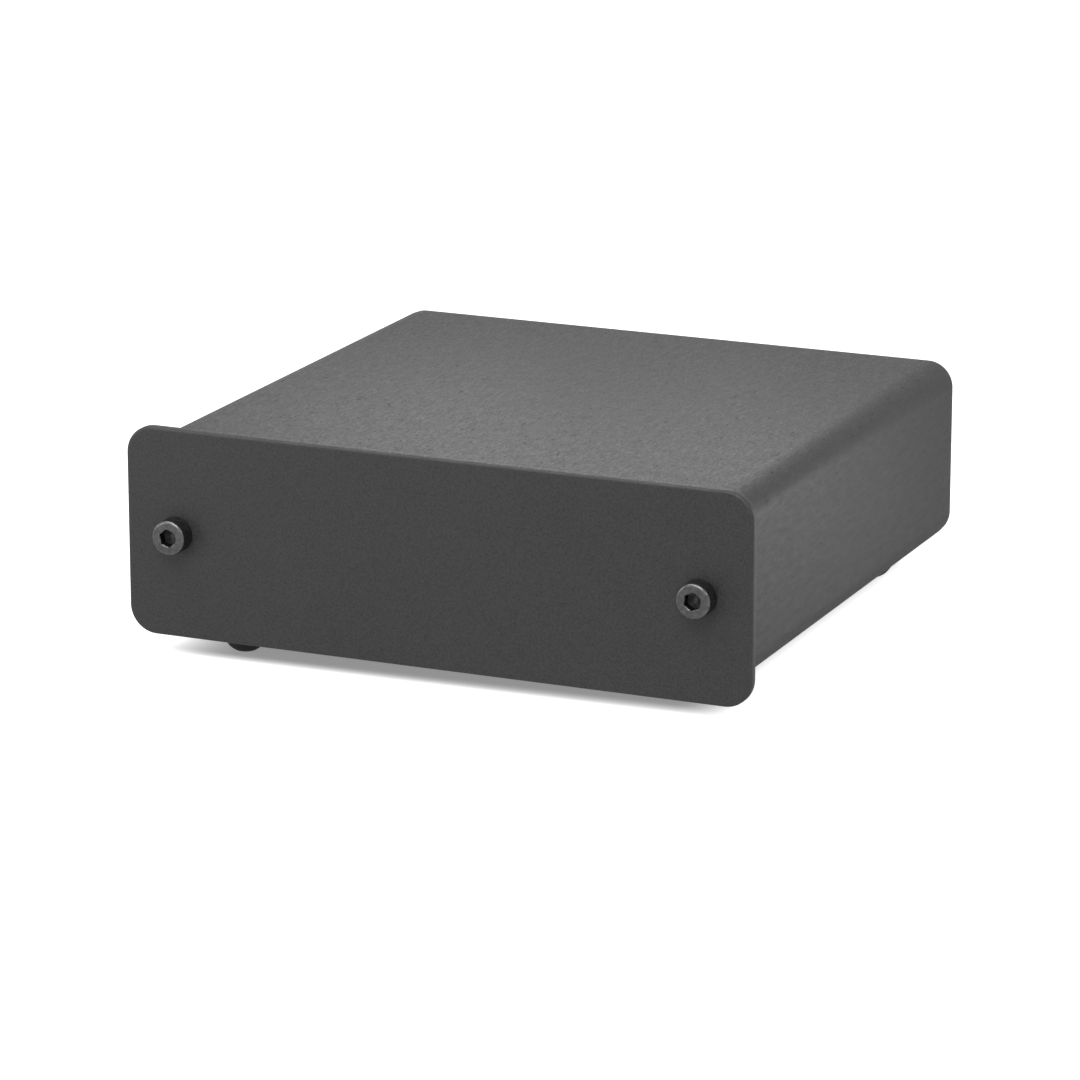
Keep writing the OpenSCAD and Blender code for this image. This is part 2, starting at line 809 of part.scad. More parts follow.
// A box frame round the slider, with a window towards the rear
module selector_frame() {
    start = rear_inner - selector_depth;
    color("#b0b0b0") place() difference() {
        block(selector_x, start, board_top, selector_w, selector_depth, selector_h);
        block(
            selector_x, start + selector_wall, board_top + selector_wall,
            selector_w - 2 * selector_wall,
            selector_depth - 2 * selector_wall,
            selector_h - 2 * selector_wall
        );
        block(
            selector_x, rear_inner - selector_wall - cut, selector_z - knob_room_h / 2,
            knob_room_w, selector_wall + 2 * cut, knob_room_h
        );
    }
}

module selector_slider() {
    carriage_w = selector_w - 2 * selector_wall - selector_travel - 2 * slide_gap;
    carriage_h = selector_h - 2 * selector_wall - 2 * slide_gap;
    carriage_d = selector_depth - 2 * selector_wall - 2 * slide_gap;
    start = rear_inner - selector_depth + selector_wall + slide_gap;
    knob_end = rear_outer + knob_reach;
    groove_pitch = knob_w / (knob_ridges + (knob_ridges - 1));
    color("#161616") place() difference() {
        union() {
            block(
                slider_rest_x, start, selector_z - carriage_h / 2,
                carriage_w, carriage_d, carriage_h
            );
            block(slider_rest_x, start, selector_z - knob_h / 2, knob_w, knob_end - start, knob_h);
        }
        for (i = [1 : knob_ridges - 1])
            block(
                slider_rest_x - knob_w / 2 + (2 * i - 0.5) * groove_pitch,
                knob_end - knob_groove, selector_z - knob_h,
                groove_pitch, knob_groove + cut, 2 * knob_h
            );
    }
}

module ground_stud() {
    color("#c9a24a") place()
        rod_y(selector_x, ground_z, rear_inner - stud_root, stud_root + rear_t + stud_reach, stud_r);
}

module ground_fixing_nuts() {
    color("#c9a24a") place() {
        difference() {
            hex_y(selector_x, ground_z, rear_inner - inner_nut_t, inner_nut_t, fixing_nut_hex);
            rod_y(
                selector_x, ground_z, rear_inner - inner_nut_t - cut,
                inner_nut_t + 2 * cut, stud_r + seat_gap
            );
        }
        difference() {
            hex_y(selector_x, ground_z, rear_outer, outer_nut_t, fixing_nut_hex);
            rod_y(selector_x, ground_z, rear_outer - cut, outer_nut_t + 2 * cut, stud_r + seat_gap);
        }
    }
}

module ground_washer() {
    color("#c9a24a") place() difference() {
        rod_y(selector_x, ground_z, washer_start, washer_t, washer_d / 2);
        rod_y(selector_x, ground_z, washer_start - cut, washer_t + 2 * cut, stud_r + seat_gap);
    }
}

// One V groove of the knurl, with its edge at knurl_depth below the rim
module knurl_groove(length) {
    half_w = knurl_depth * tan(knurl_half_angle);
    translate([thumb_d / 2 - knurl_depth, 0, -cut])
        linear_extrude(length + 2 * cut)
            polygon([[0, 0], [2 * knurl_depth, 2 * half_w], [2 * knurl_depth, -2 * half_w]]);
}

module ground_thumb_nut() {
    grip = thumb_t - thumb_shoulder_t;
    color("#c9a24a") place()
        translate([selector_x, thumb_start, ground_z]) rotate([-90, 0, 0]) difference() {
            union() {
                difference() {
                    cylinder(h = grip, d = thumb_d);
                    for (i = [0 : knurl_count - 1])
                        rotate([0, 0, i * 360 / knurl_count]) knurl_groove(grip);
                }
                cylinder(h = thumb_t, d = thumb_shoulder_d);
            }
            translate([0, 0, -cut]) cylinder(h = thumb_t + 2 * cut, r = stud_r + seat_gap);
        }
}

// A chip with two rows of four legs standing on the board
module op_amp(side) {
    spot = board_spot(chip_shares, side);
    translate(spot) {
        translate([-chip_w / 2, -chip_len / 2, chip_lift]) difference() {
            cube([chip_w, chip_len, chip_t]);
            translate([chip_w / 2, 0, chip_t]) sphere(d = chip_lift * 2);
        }
        for (row = [-1, 1], i = [0 : 3])
            translate([row * (chip_w + chip_leg_t) / 2, (i - 1.5) * chip_leg_pitch, 0])
                translate([-chip_leg_t / 2, -chip_leg_w / 2, 0])
                    cube([chip_leg_t, chip_leg_w, chip_lift + chip_t / 2]);
    }
}

module left_op_amp() {
    color("#1a1a1c") place() op_amp(-1);
}

module right_op_amp() {
    color("#1a1a1c") place() op_amp(1);
}

// A can capacitor with the crimp groove over its seal
module can_capacitor(shares, side, d, h) {
    translate(board_spot(shares, side)) {
        cylinder(h = crimp_w, d = d);
        translate([0, 0, crimp_w]) cylinder(h = crimp_w, d = d - 2 * crimp_depth);
        translate([0, 0, 2 * crimp_w]) cylinder(h = h - 2 * crimp_w, d = d);
    }
}

module left_supply_capacitor() {
    color("#23324a") place() can_capacitor(supply_cap_shares, -1, supply_cap_d, supply_cap_h);
}

module right_supply_capacitor() {
    color("#23324a") place() can_capacitor(supply_cap_shares, 1, supply_cap_d, supply_cap_h);
}

module left_input_capacitor() {
    color("#23324a") place() can_capacitor(input_cap_shares, -1, coupling_cap_d, coupling_cap_h);
}

module left_output_capacitor() {
    color("#23324a") place() can_capacitor(output_cap_shares, -1, coupling_cap_d, coupling_cap_h);
}

module right_input_capacitor() {
    color("#23324a") place() can_capacitor(input_cap_shares, 1, coupling_cap_d, coupling_cap_h);
}

module right_output_capacitor() {
    color("#23324a") place() can_capacitor(output_cap_shares, 1, coupling_cap_d, coupling_cap_h);
}

// A film capacitor: a box with the shallow step of its potting at the bottom
module film_capacitor(shares, side) {
    step = film_cap_w * leg_share;
    translate(board_spot(shares, side)) {
        translate([-film_cap_len / 2, -film_cap_w / 2, step])
            cube([film_cap_len, film_cap_w, film_cap_h - step]);
        translate([-film_cap_len / 2 + step, -film_cap_w / 2 + step, 0])
            cube([film_cap_len - 2 * step, film_cap_w - 2 * step, film_cap_h / 2]);
    }
}

module left_bass_film_capacitor() {
    color("#a5352a") place() film_capacitor(bass_film_shares, -1);
}

module left_treble_film_capacitor() {
    color("#a5352a") place() film_capacitor(treble_film_shares, -1);
}

module right_bass_film_capacitor() {
    color("#a5352a") place() film_capacitor(bass_film_shares, 1);
}

module right_treble_film_capacitor() {
    color("#a5352a") place() film_capacitor(treble_film_shares, 1);
}

// A regulator: a round body with one flat side, on three legs
module regulator(side) {
    leg = regulator_d * leg_share;
    translate(board_spot(regulator_shares, side)) {
        translate([0, 0, regulator_lift]) difference() {
            cylinder(h = regulator_h, d = regulator_d);
            translate([-regulator_d, regulator_d / 4, -cut])
                cube([2 * regulator_d, regulator_d, regulator_h + 2 * cut]);
        }
        for (i = [-1, 0, 1])
            translate([i * regulator_d / 4 - leg / 2, -leg / 2, 0]) cube([leg, leg, regulator_lift + leg]);
    }
}

module left_regulator() {
    color("#1a1a1c") place() regulator(-1);
}

module right_regulator() {
    color("#1a1a1c") place() regulator(1);
}

module rectifier_bridge() {
    leg = rectifier_w * leg_share;
    color("#1a1a1c") place() translate(board_spot(rectifier_shares, 1)) {
        translate([-rectifier_w / 2, -rectifier_w / 2, leg]) cube([rectifier_w, rectifier_w, rectifier_t]);
        for (sx = [-1, 1], sy = [-1, 1])
            translate([sx * (rectifier_w - leg) / 2 - leg / 2, sy * (rectifier_w - leg) / 2 - leg / 2, 0])
                cube([leg, leg, 2 * leg]);
    }
}

module supply_choke() {
    color("#8a5a2c") place() translate(board_spot(choke_shares, 1)) difference() {
        cylinder(h = choke_t, d = choke_d);
        translate([0, 0, -cut]) cylinder(h = choke_t + 2 * cut, d = choke_bore);
    }
}

// An axial resistor with its leads bent down to the board
module resistor() {
    axis_z = resistor_d / 2 + lead_d;
    translate([-resistor_len / 2, 0, axis_z]) rotate([0, 90, 0])
        cylinder(h = resistor_len, d = resistor_d, $fn = 24);
    translate([-resistor_span / 2, 0, axis_z]) rotate([0, 90, 0])
        cylinder(h = resistor_span, d = lead_d, $fn = 16);
    for (end = [-1, 1])
        translate([end * resistor_span / 2, 0, 0]) {
            cylinder(h = axis_z, d = lead_d, $fn = 16);
            translate([0, 0, axis_z]) sphere(d = lead_d, $fn = 16);
        }
}

module resistors() {
    color("#7fa6b8") place()
        for (side = [-1, 1], row = resistor_row_shares, i = [0 : resistors_in_row - 1])
            translate(board_spot(row, side)) translate([0, i * resistor_pitch, 0]) resistor();
}

sleeve();
front_panel();
rear_panel();
front_screws();
rear_screws();
left_tie_bar();
right_tie_bar();
front_left_foot();
front_right_foot();
rear_left_foot();
rear_right_foot();
circuit_board();
board_spacers();
board_screws();
input_socket_housing();
output_socket_housing();
socket_screws();
solder_pins();
input_left_shell();
input_left_insulator();
input_left_contact();
input_right_shell();
input_right_insulator();
input_right_contact();
output_left_shell();
output_left_insulator();
output_left_contact();
output_right_shell();
output_right_insulator();
output_right_contact();
power_inlet();
power_inlet_pin();
selector_frame();
selector_slider();
ground_stud();
ground_fixing_nuts();
ground_washer();
ground_thumb_nut();
left_op_amp();
right_op_amp();
left_supply_capacitor();
right_supply_capacitor();
left_input_capacitor();
left_output_capacitor();
right_input_capacitor();
right_output_capacitor();
left_bass_film_capacitor();
left_treble_film_capacitor();
right_bass_film_capacitor();
right_treble_film_capacitor();
left_regulator();
right_regulator();
rectifier_bridge();
supply_choke();
resistors();
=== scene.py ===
# %% [markdown]
# # A compact phono preamplifier
# The object is a dark sheet-metal sleeve held between a larger front plate and a rear plate.
# The CAD model gives every piece its place. This lesson gives the pieces their looks: softened
# edges that catch the light, a fine-grained coat, blackened screws and plated sockets.
# All lengths are in metres, in the frame of the CAD model: X across, Y to the rear, Z up.

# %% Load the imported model
import json
import math

import bmesh
import bpy
import numpy as np
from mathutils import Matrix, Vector
from mathutils.geometry import delaunay_2d_cdt


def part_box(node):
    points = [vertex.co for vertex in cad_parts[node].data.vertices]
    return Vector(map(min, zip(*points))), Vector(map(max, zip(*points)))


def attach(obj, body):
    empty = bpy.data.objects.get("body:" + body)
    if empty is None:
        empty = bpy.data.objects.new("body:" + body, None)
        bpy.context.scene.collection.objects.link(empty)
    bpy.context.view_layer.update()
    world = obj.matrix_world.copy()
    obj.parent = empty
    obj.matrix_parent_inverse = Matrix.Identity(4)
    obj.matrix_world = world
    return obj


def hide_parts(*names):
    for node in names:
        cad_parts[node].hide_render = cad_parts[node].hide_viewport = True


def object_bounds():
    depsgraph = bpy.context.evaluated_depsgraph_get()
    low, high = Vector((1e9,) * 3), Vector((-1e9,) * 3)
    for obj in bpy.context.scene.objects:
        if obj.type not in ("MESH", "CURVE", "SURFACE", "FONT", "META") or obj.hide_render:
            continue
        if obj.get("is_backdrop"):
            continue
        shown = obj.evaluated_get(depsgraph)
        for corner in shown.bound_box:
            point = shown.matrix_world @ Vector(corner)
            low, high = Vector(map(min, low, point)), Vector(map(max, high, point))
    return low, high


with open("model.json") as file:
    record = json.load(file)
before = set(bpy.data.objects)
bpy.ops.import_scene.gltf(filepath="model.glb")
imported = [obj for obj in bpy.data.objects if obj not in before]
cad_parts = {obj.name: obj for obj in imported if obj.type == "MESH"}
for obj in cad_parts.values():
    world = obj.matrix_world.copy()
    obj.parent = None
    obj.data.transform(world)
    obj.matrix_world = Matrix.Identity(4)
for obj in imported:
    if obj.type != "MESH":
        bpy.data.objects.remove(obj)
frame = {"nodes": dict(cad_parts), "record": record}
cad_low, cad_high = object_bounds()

MM = 0.001
nodes = frame["nodes"]
cad_size = [round((high - low) / MM, 2) for low, high in zip(cad_low, cad_high)]
print(len(nodes), "pieces, box in mm:", cad_size)


def middle(node):
    """The centre of a CAD piece's box."""
    low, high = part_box(node)
    return (low + high) / 2


def put_in_scene(name, data):
    """A new object that shows the data."""
    thing = bpy.data.objects.new(name, data)
    bpy.context.scene.collection.objects.link(thing)
    return thing


# %% [markdown]
# ## The camera
# The photo was taken with a long lens from the front right, a little above the object. The
# straight edges of the front plate and the sleeve fix such a camera: its direction, its
# distance and its lens. It looks at a point beside the middle, because the photo is not centred.
# A camera could also be turned by eye, but numbers fitted to those edges are nearer and keep.

# %% Place the camera
view_azimuth = math.radians(23.567)
view_height = math.radians(15.615)
view_distance = 763.96 * MM
view_target = Vector((17.604, -52.25, 25.409)) * MM
view_back = Vector((
    math.sin(view_azimuth) * math.cos(view_height),
    -math.cos(view_azimuth) * math.cos(view_height),
    math.sin(view_height),
))
lens = bpy.data.cameras.new("photo_lens")
lens.sensor_width = 36.0
lens.lens = 171.73
camera = put_in_scene("photo_camera", lens)
camera.location = view_target + view_back * view_distance
camera.rotation_euler = (-view_back).to_track_quat("-Z", "Y").to_euler()
bpy.context.scene.camera = camera
print("camera", round(view_distance, 3), "m away, lens", lens.lens, "mm")

# %% [markdown]
# ## Meshes from formulas
# Pieces could be pushed together from cubes and cylinders. Here every new piece is a grid of
# points, worked out as whole arrays, because a formula gives exact sizes. A grid that closes on
# itself needs no caps. A shape is a tuple: its points, its faces as index arrays, and a wear
# value for each point, which tells the finishes where an edge is rubbed. A value below 0 marks
# a recess that gets a painted shade instead.
# A closed mesh has a signed volume, which is positive when its faces point outward. The sign
# is a safe way to turn a mesh the right way round, whatever the order of its profile.

# %% Grids and their direction
def quads(rows, columns, close_rows=True, first=0):
    """Faces of a grid that is numbered row by row.

    Each joins a point to the next ones in its row and in its column. A row closes into a ring.
    The columns close too if the profile is a loop.
    """
    i = np.arange(rows if close_rows else rows - 1)[:, None]
    j = np.arange(columns)[None, :]
    down, across = (i + 1) % rows, (j + 1) % columns
    corners = [i * columns + j, i * columns + across, down * columns + across, down * columns + j]
    return first + np.stack([c.reshape(-1) for c in corners], axis=1)


def triangles(faces):
    """Quads cut in two, triangles as they are."""
    if faces.shape[1] == 3:
        return faces
    return np.concatenate([faces[:, [0, 1, 2]], faces[:, [0, 2, 3]]])


def volume_of(points, faces):
    """A closed mesh's volume: a sixth of the sum of a . (b x c) over its triangles."""
    a, b, c = points[np.concatenate([triangles(f) for f in faces])].transpose(1, 0, 2)
    return np.einsum("ij,ij->", a, np.cross(b, c)) / 6


def outward(points, faces, wear_and_shade):
    """The shape with its faces outward."""
    inside_out = volume_of(points, faces) < 0
    return points, [f[:, ::-1] for f in faces] if inside_out else faces, wear_and_shade


def joined(shapes):
    """Several shapes as one, each one's indices counted on from the last."""
    starts = np.cumsum([0] + [len(s[0]) for s in shapes])
    faces = [f + start for s, start in zip(shapes, starts) for f in s[1]]
    return np.concatenate([s[0] for s in shapes]), faces, np.concatenate([s[2] for s in shapes])


print("a closed grid of 4 by 6 points has", len(quads(4, 6)), "faces")

# %% [markdown]
# A piece takes the place of one or more CAD pieces. It rides on their body, and their material
# slot gives its finish. It is shaded smooth, apart from creases sharper than 35 degrees.

# %% From a shape to a piece
CREASE = math.radians(35)
slot_of = {s["node"]: s["material_slot"] for s in frame["record"]["subparts"]}


def give_finish(mesh, finish):
    """The finish as the mesh's only material."""
    mesh.materials.clear()
    mesh.materials.append(finish)


def add_piece(name, shape, *replaced, body="case"):
    """Makes the shape a piece on its body, in place of CAD pieces."""
    points, faces, wear_and_shade = shape
    mesh = bpy.data.meshes.new(name)
    mesh.from_pydata(points.tolist(), [], [f for part in faces for f in part.tolist()])
    wear_and_shade_values = mesh.attributes.new("wear_and_shade", "FLOAT", "POINT").data
    wear_and_shade_values.foreach_set("value", wear_and_shade.astype(np.float32))
    mesh.shade_smooth()
    mesh.set_sharp_from_angle(angle=CREASE)
    slot = slot_of[replaced[0]]
    give_finish(mesh, finish_of[slot])
    piece = put_in_scene(name, mesh)
    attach(piece, body)
    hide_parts(*replaced)
    size = (points.max(axis=0) - points.min(axis=0)) / MM
    print(f"{name}: {len(mesh.polygons)} faces, {size.round(2).tolist()} mm")


print(len(slot_of), "CAD pieces have", len(set(slot_of.values())), "material slots")

# %% [markdown]
# ## Outlines and arcs
# A plate or tube is an outline carried through a profile: each profile row says how far the
# outline shrinks and where it lies in depth. A Bevel modifier could round the edges too, but a
# profile gives each edge its own round. Both keep a short guard strip beside every rounded edge,
# so that the edge's bent shading does not spread over the flat next to it.

# %% Outlines and profiles
GUARD = 0.25 * MM
CORNER_STEPS = 16


def rounded_loop(width, height, radius, centre, steps=CORNER_STEPS):
    """Points and outward normals of a rectangle with round corners.

    On a corner's arc a point is its centre + radius * (cos a, sin a), and the normal is
    (cos a, sin a). One guard point lies on the straight stretch at each end of every arc.
    """
    quarter = np.linspace(0, math.pi / 2, steps + 1)
    angle = quarter[None, :] + np.arange(4)[:, None] * math.pi / 2
    normal = np.stack([np.cos(angle), np.sin(angle)], axis=-1)
    signs = np.array([[1, 1], [-1, 1], [-1, -1], [1, -1]])
    inner = np.array([width / 2 - radius, height / 2 - radius])
    points = signs[:, None, :] * inner + radius * normal
    turn = np.stack([-normal[..., 1], normal[..., 0]], axis=-1)
    before = points[:, :1] - turn[:, :1] * GUARD
    after = points[:, -1:] + turn[:, -1:] * GUARD
    points = np.concatenate([before, points, after], axis=1).reshape(-1, 2)
    normal = np.concatenate([normal[:, :1], normal, normal[:, -1:]], axis=1).reshape(-1, 2)
    return points + np.asarray(centre), normal


def outline_of(node, corner, steps=CORNER_STEPS):
    """The rounded outline of a CAD piece, seen along Y."""
    low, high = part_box(node)
    size, centre = high - low, middle(node)
    return rounded_loop(size.x, size.z, corner, (centre.x, centre.z), steps)


def arc(centre, radius, start, end, steps=6, wear_and_shade=0.0):
    """Profile rows on an arc: centre + radius * (cos, sin) of angles in degrees.

    The wear value rises towards the middle of the arc.
    """
    share = np.linspace(0, 1, steps + 1)
    angle = np.radians(start + (end - start) * share)
    across = centre[0] + radius * np.cos(angle)
    along = centre[1] + radius * np.sin(angle)
    return np.stack([across, along, wear_and_shade * np.sin(math.pi * share)], axis=1)


def rows(*items):
    """Profile rows from points and arcs. A plain point has no wear unless it gives one."""
    return np.concatenate([
        item if np.ndim(item) == 2 else np.array([(*item, 0.0)[:3]]) for item in items
    ])


def carried(loop, profile):
    """An outline carried through profile rows of (shrink, depth, wear).

    A point is the outline's own, less shrink * its normal, at the row's depth.
    """
    points, normal = loop
    flat = points[None] - normal[None] * profile[:, 0, None, None]
    depth = np.broadcast_to(profile[:, 1, None], flat.shape[:2])
    place = np.stack([flat[..., 0], depth, flat[..., 1]], axis=-1)
    wear_and_shade = np.broadcast_to(profile[:, 2, None], flat.shape[:2])
    return place.reshape(-1, 3), wear_and_shade.reshape(-1)


stray = 1 - math.cos(math.pi / 4 / CORNER_STEPS)
print(f"a corner of {CORNER_STEPS} steps strays {100 * stray:.2f} percent of its radius")

# %% [markdown]
# ## Finishes
# Every finish is a Principled shader. What is the same all over a surface sits on the shader's
# own socket. What varies comes from noise on Object coordinates, sized in millimetres, so the
# grain keeps its real scale on every piece. Most values of a noise lie between 0.3 and 0.7, so
# most ranges run from one of these to the other.

# %% Pattern helpers
LUMPS = (0.3, 0.7)


def start_finish(name, colour, roughness, **constants):
    """A Principled material with its constants set, its node tree and its shader."""
    finish = bpy.data.materials.new(name)
    finish.use_nodes = True
    finish.diffuse_color = (*colour, 1.0)
    shader = finish.node_tree.nodes["Principled BSDF"]
    shader.inputs["Base Color"].default_value = (*colour, 1.0)
    shader.inputs["Roughness"].default_value = roughness
    for socket, value in constants.items():
        shader.inputs[socket.replace("_", " ")].default_value = value
    return finish, finish.node_tree, shader


def scaled(colour, factor, lift=0.0):
    """A colour made darker or lighter: factor * c + lift, no more than 1."""
    return tuple(min(1.0, factor * c + lift) for c in colour)


def place_on(tree, stretch=(1, 1, 1)):
    """Object coordinates in metres, stretched along an axis where a grain runs."""
    where = tree.nodes.new("ShaderNodeTexCoord").outputs["Object"]
    if stretch == (1, 1, 1):
        return where
    mapping = tree.nodes.new("ShaderNodeMapping")
    mapping.inputs["Scale"].default_value = stretch
    tree.links.new(where, mapping.inputs["Vector"])
    return mapping.outputs["Vector"]


def split(tree, vector):
    """The X, Y and Z sockets of a vector."""
    parts = tree.nodes.new("ShaderNodeSeparateXYZ")
    tree.links.new(vector, parts.inputs["Vector"])
    return parts.outputs


def noise(tree, size, detail=2.0, stretch=(1, 1, 1)):
    """Noise whose lumps are about size across: its scale is one over the size."""
    texture = tree.nodes.new("ShaderNodeTexNoise")
    texture.inputs["Scale"].default_value = 1.0 / size
    texture.inputs["Detail"].default_value = detail
    tree.links.new(place_on(tree, stretch), texture.inputs["Vector"])
    return texture.outputs["Fac"]


def between(tree, value, start, end, low=0.0, high=1.0):
    """A number that goes from low to high as value goes from start to end, and no further."""
    fit = tree.nodes.new("ShaderNodeMapRange")
    sockets = ("From Min", "From Max", "To Min", "To Max")
    for socket, number in zip(sockets, (start, end, low, high)):
        fit.inputs[socket].default_value = number
    tree.links.new(value, fit.inputs["Value"])
    return fit.outputs["Result"]


def reckon(tree, operation, *numbers):
    """Arithmetic on numbers, each a socket or a constant."""
    node = tree.nodes.new("ShaderNodeMath")
    node.operation = operation
    for socket, value in zip(node.inputs, numbers):
        if isinstance(value, (int, float)):
            socket.default_value = value
        else:
            tree.links.new(value, socket)
    return node.outputs["Value"]


def blend_colours(tree, share, one, other):
    """A colour between two, each a socket or a constant."""
    mix = tree.nodes.new("ShaderNodeMix")
    mix.data_type = "RGBA"
    tree.links.new(share, mix.inputs["Factor"])
    colour_a, colour_b, result = mix.inputs[6], mix.inputs[7], mix.outputs[2]
    for socket, value in ((colour_a, one), (colour_b, other)):
        if isinstance(value, tuple):
            socket.default_value = (*value, 1.0)
        else:
            tree.links.new(value, socket)
    return result


def add_bump(tree, shader, height, depth):
    """Relief of a given depth in metres, on top of whatever relief the shader has already."""
    bump = tree.nodes.new("ShaderNodeBump")
    bump.inputs["Distance"].default_value = depth
    tree.links.new(height, bump.inputs["Height"])
    if shader.inputs["Normal"].is_linked:
        earlier = shader.inputs["Normal"].links[0].from_socket
        tree.links.new(earlier, bump.inputs["Normal"])
    tree.links.new(bump.outputs["Normal"], shader.inputs["Normal"])


def wear_and_shade_share(tree, size, amount):
    """How much an edge is rubbed: the wear value broken up by noise; below 0, a recess with painted
    shade.
    """
    wear_and_shade = tree.nodes.new("ShaderNodeAttribute")
    wear_and_shade.attribute_name = "wear_and_shade"
    patchy = between(tree, noise(tree, size), 0.35, 0.65, 0.3, 1.0)
    return reckon(tree, "MULTIPLY", reckon(tree, "MULTIPLY", wear_and_shade.outputs["Fac"], patchy), amount)


print("a colour half as bright as (0.2, 0.4, 0.6) is", scaled((0.2, 0.4, 0.6), 0.5))

# %% [markdown]
# ### Matt coat
# The sleeve and plates carry a matt black coat. Its grain is a quarter to a third of a millimetre
# wide and shows as a fine sparkle, because neighbouring grains differ in roughness and slope. On
# the sleeve it is longer along Y, the way the sheet was rolled. A mottle of one or two
# millimetres and soft large patches lie under it, with a few darker pits, which come from the
# lowest values of a noise. Fine dust lies on what faces up, so grain and pits are stronger there.
# Rounded edges are rubbed a little lighter and smoother. A picture of such a coat could be
# wrapped round the case, but noise needs no picture and runs round the corners without a seam.

# %% Coat finishes
def upward(tree):
    """0 on upright and lower faces, 1 on level upper ones: the normal's Z, no lower than 0."""
    normal = tree.nodes.new("ShaderNodeTexCoord").outputs["Normal"]
    return reckon(tree, "MAXIMUM", split(tree, normal)["Z"], 0.0)


def coat(name, colour, roughness, sheen, grain, sparkle, pits, depth, drawn=1.0):
    """A dark matt coat with grain, mottle, pits and rubbed edges.

    Its tone is seven tenths grain, two tenths mottle and one tenth patches. Sparkle is how much
    the grain's roughness varies, depth its relief, and drawn how much longer it is along Y.
    """
    finish, tree, shader = start_finish(name, colour, roughness, Specular_IOR_Level=sheen)
    along = (1, 1 / drawn, 1)
    fine = noise(tree, grain, stretch=along)
    mottle = noise(tree, 4 * grain, detail=3.0, stretch=along)
    patches = noise(tree, 22 * MM)
    tone = reckon(
        tree, "ADD", between(tree, fine, *LUMPS, high=0.7), between(tree, mottle, *LUMPS, high=0.2))
    tone = reckon(tree, "ADD", tone, between(tree, patches, *LUMPS, high=0.1))
    body = blend_colours(tree, tone, scaled(colour, 0.1), scaled(colour, 1.9))
    dusty = between(tree, upward(tree), 0.3, 0.9, 0.55, 1.0)
    pit = between(tree, noise(tree, 0.45 * MM, detail=1.0, stretch=along), 0.27, 0.31, pits, 0.0)
    pit = reckon(tree, "MULTIPLY", pit, dusty)
    body = blend_colours(tree, pit, body, scaled(colour, 0.25))
    rub_and_shade = wear_and_shade_share(tree, 3 * MM, 0.5)
    body = blend_colours(tree, rub_and_shade, body, scaled(colour, 2.2))
    tree.links.new(body, shader.inputs["Base Color"])
    swing = reckon(tree, "MULTIPLY", between(tree, fine, 0.25, 0.75, -sparkle, sparkle), dusty)
    swing = reckon(tree, "ADD", swing, between(tree, mottle, *LUMPS, -0.05, 0.05))
    rough = reckon(tree, "ADD", swing, roughness)
    rough = reckon(tree, "ADD", rough, reckon(tree, "MULTIPLY", pit, 0.2))
    rough = reckon(tree, "SUBTRACT", rough, reckon(tree, "MULTIPLY", rub_and_shade, 0.15))
    tree.links.new(rough, shader.inputs["Roughness"])
    add_bump(tree, shader, fine, depth)
    add_bump(tree, shader, pit, -0.01 * MM)
    return finish


sleeve_coat = coat(
    "sleeve_coat", (0.0165, 0.0165, 0.0168), roughness=0.56, sheen=0.51,
    grain=0.24 * MM, sparkle=0.135, pits=0.75, depth=0.0105 * MM, drawn=3.4,
)
plate_coat = coat(
    "plate_coat", (0.0190, 0.0190, 0.0192), roughness=0.58, sheen=0.54,
    grain=0.36 * MM, sparkle=0.2, pits=0.3, depth=0.03 * MM,
)
print("coats:", sleeve_coat.name, plate_coat.name)

# %% [markdown]
# ### Blackened steel
# Black oxide leaves steel metallic but dark. It reflects softly, mottled by oil, and its rims
# are rubbed bright where a key or a finger touches them. A negative wear value marks the recess,
# which gets a nearly black painted shade. A dark plastic would do from afar, but only a metal
# gives the rims their bright rings.

# %% Blackened steel
def blackened_steel():
    """Dark metal with a mottled sheen, brighter rims and a painted shade that blackens recesses."""
    finish, tree, shader = start_finish(
        "blackened_steel", (0.097, 0.097, 0.0985), 0.36, Metallic=1.0)
    dark, light = (0.076, 0.076, 0.077), (0.120, 0.120, 0.121)
    # The first colour is a nearly black painted shade for the socket recess; bright is for rubbed
    # rims.
    painted_recess_shade, bright = (0.032, 0.032, 0.032), (0.22, 0.22, 0.217)
    mottle = noise(tree, 0.5 * MM, detail=4.0)
    body = blend_colours(tree, between(tree, mottle, *LUMPS), dark, light)
    rub_and_shade = wear_and_shade_share(tree, 0.8 * MM, 0.6)
    # Painted shade: where the value is below 0, in the socket recess, the colour goes nearly black.
    body = blend_colours(tree, between(tree, rub_and_shade, -0.3, 0.0, 1.0, 0.0), body, painted_recess_shade)
    tree.links.new(blend_colours(tree, rub_and_shade, body, bright), shader.inputs["Base Color"])
    rough = between(tree, mottle, *LUMPS, 0.32, 0.42)
    rough = reckon(tree, "SUBTRACT", rough, reckon(tree, "MULTIPLY", rub_and_shade, 0.35))
    tree.links.new(rough, shader.inputs["Roughness"])
    add_bump(tree, shader, noise(tree, 0.12 * MM), 0.004 * MM)
    return finish


screw_finish = blackened_steel()
print("screws:", screw_finish.name)

# %% [markdown]
# ### Rubber, plastics and plating
# The feet are matt rubber with a dusty bloom. The socket parts are moulded plastic with a faint
# grain. The plated parts show fine turning lines, which run round the Y axis, so the noise is
# squeezed along Y. One function makes all the plastics and one all the metals, because they
# differ only in colour, sheen and grain.

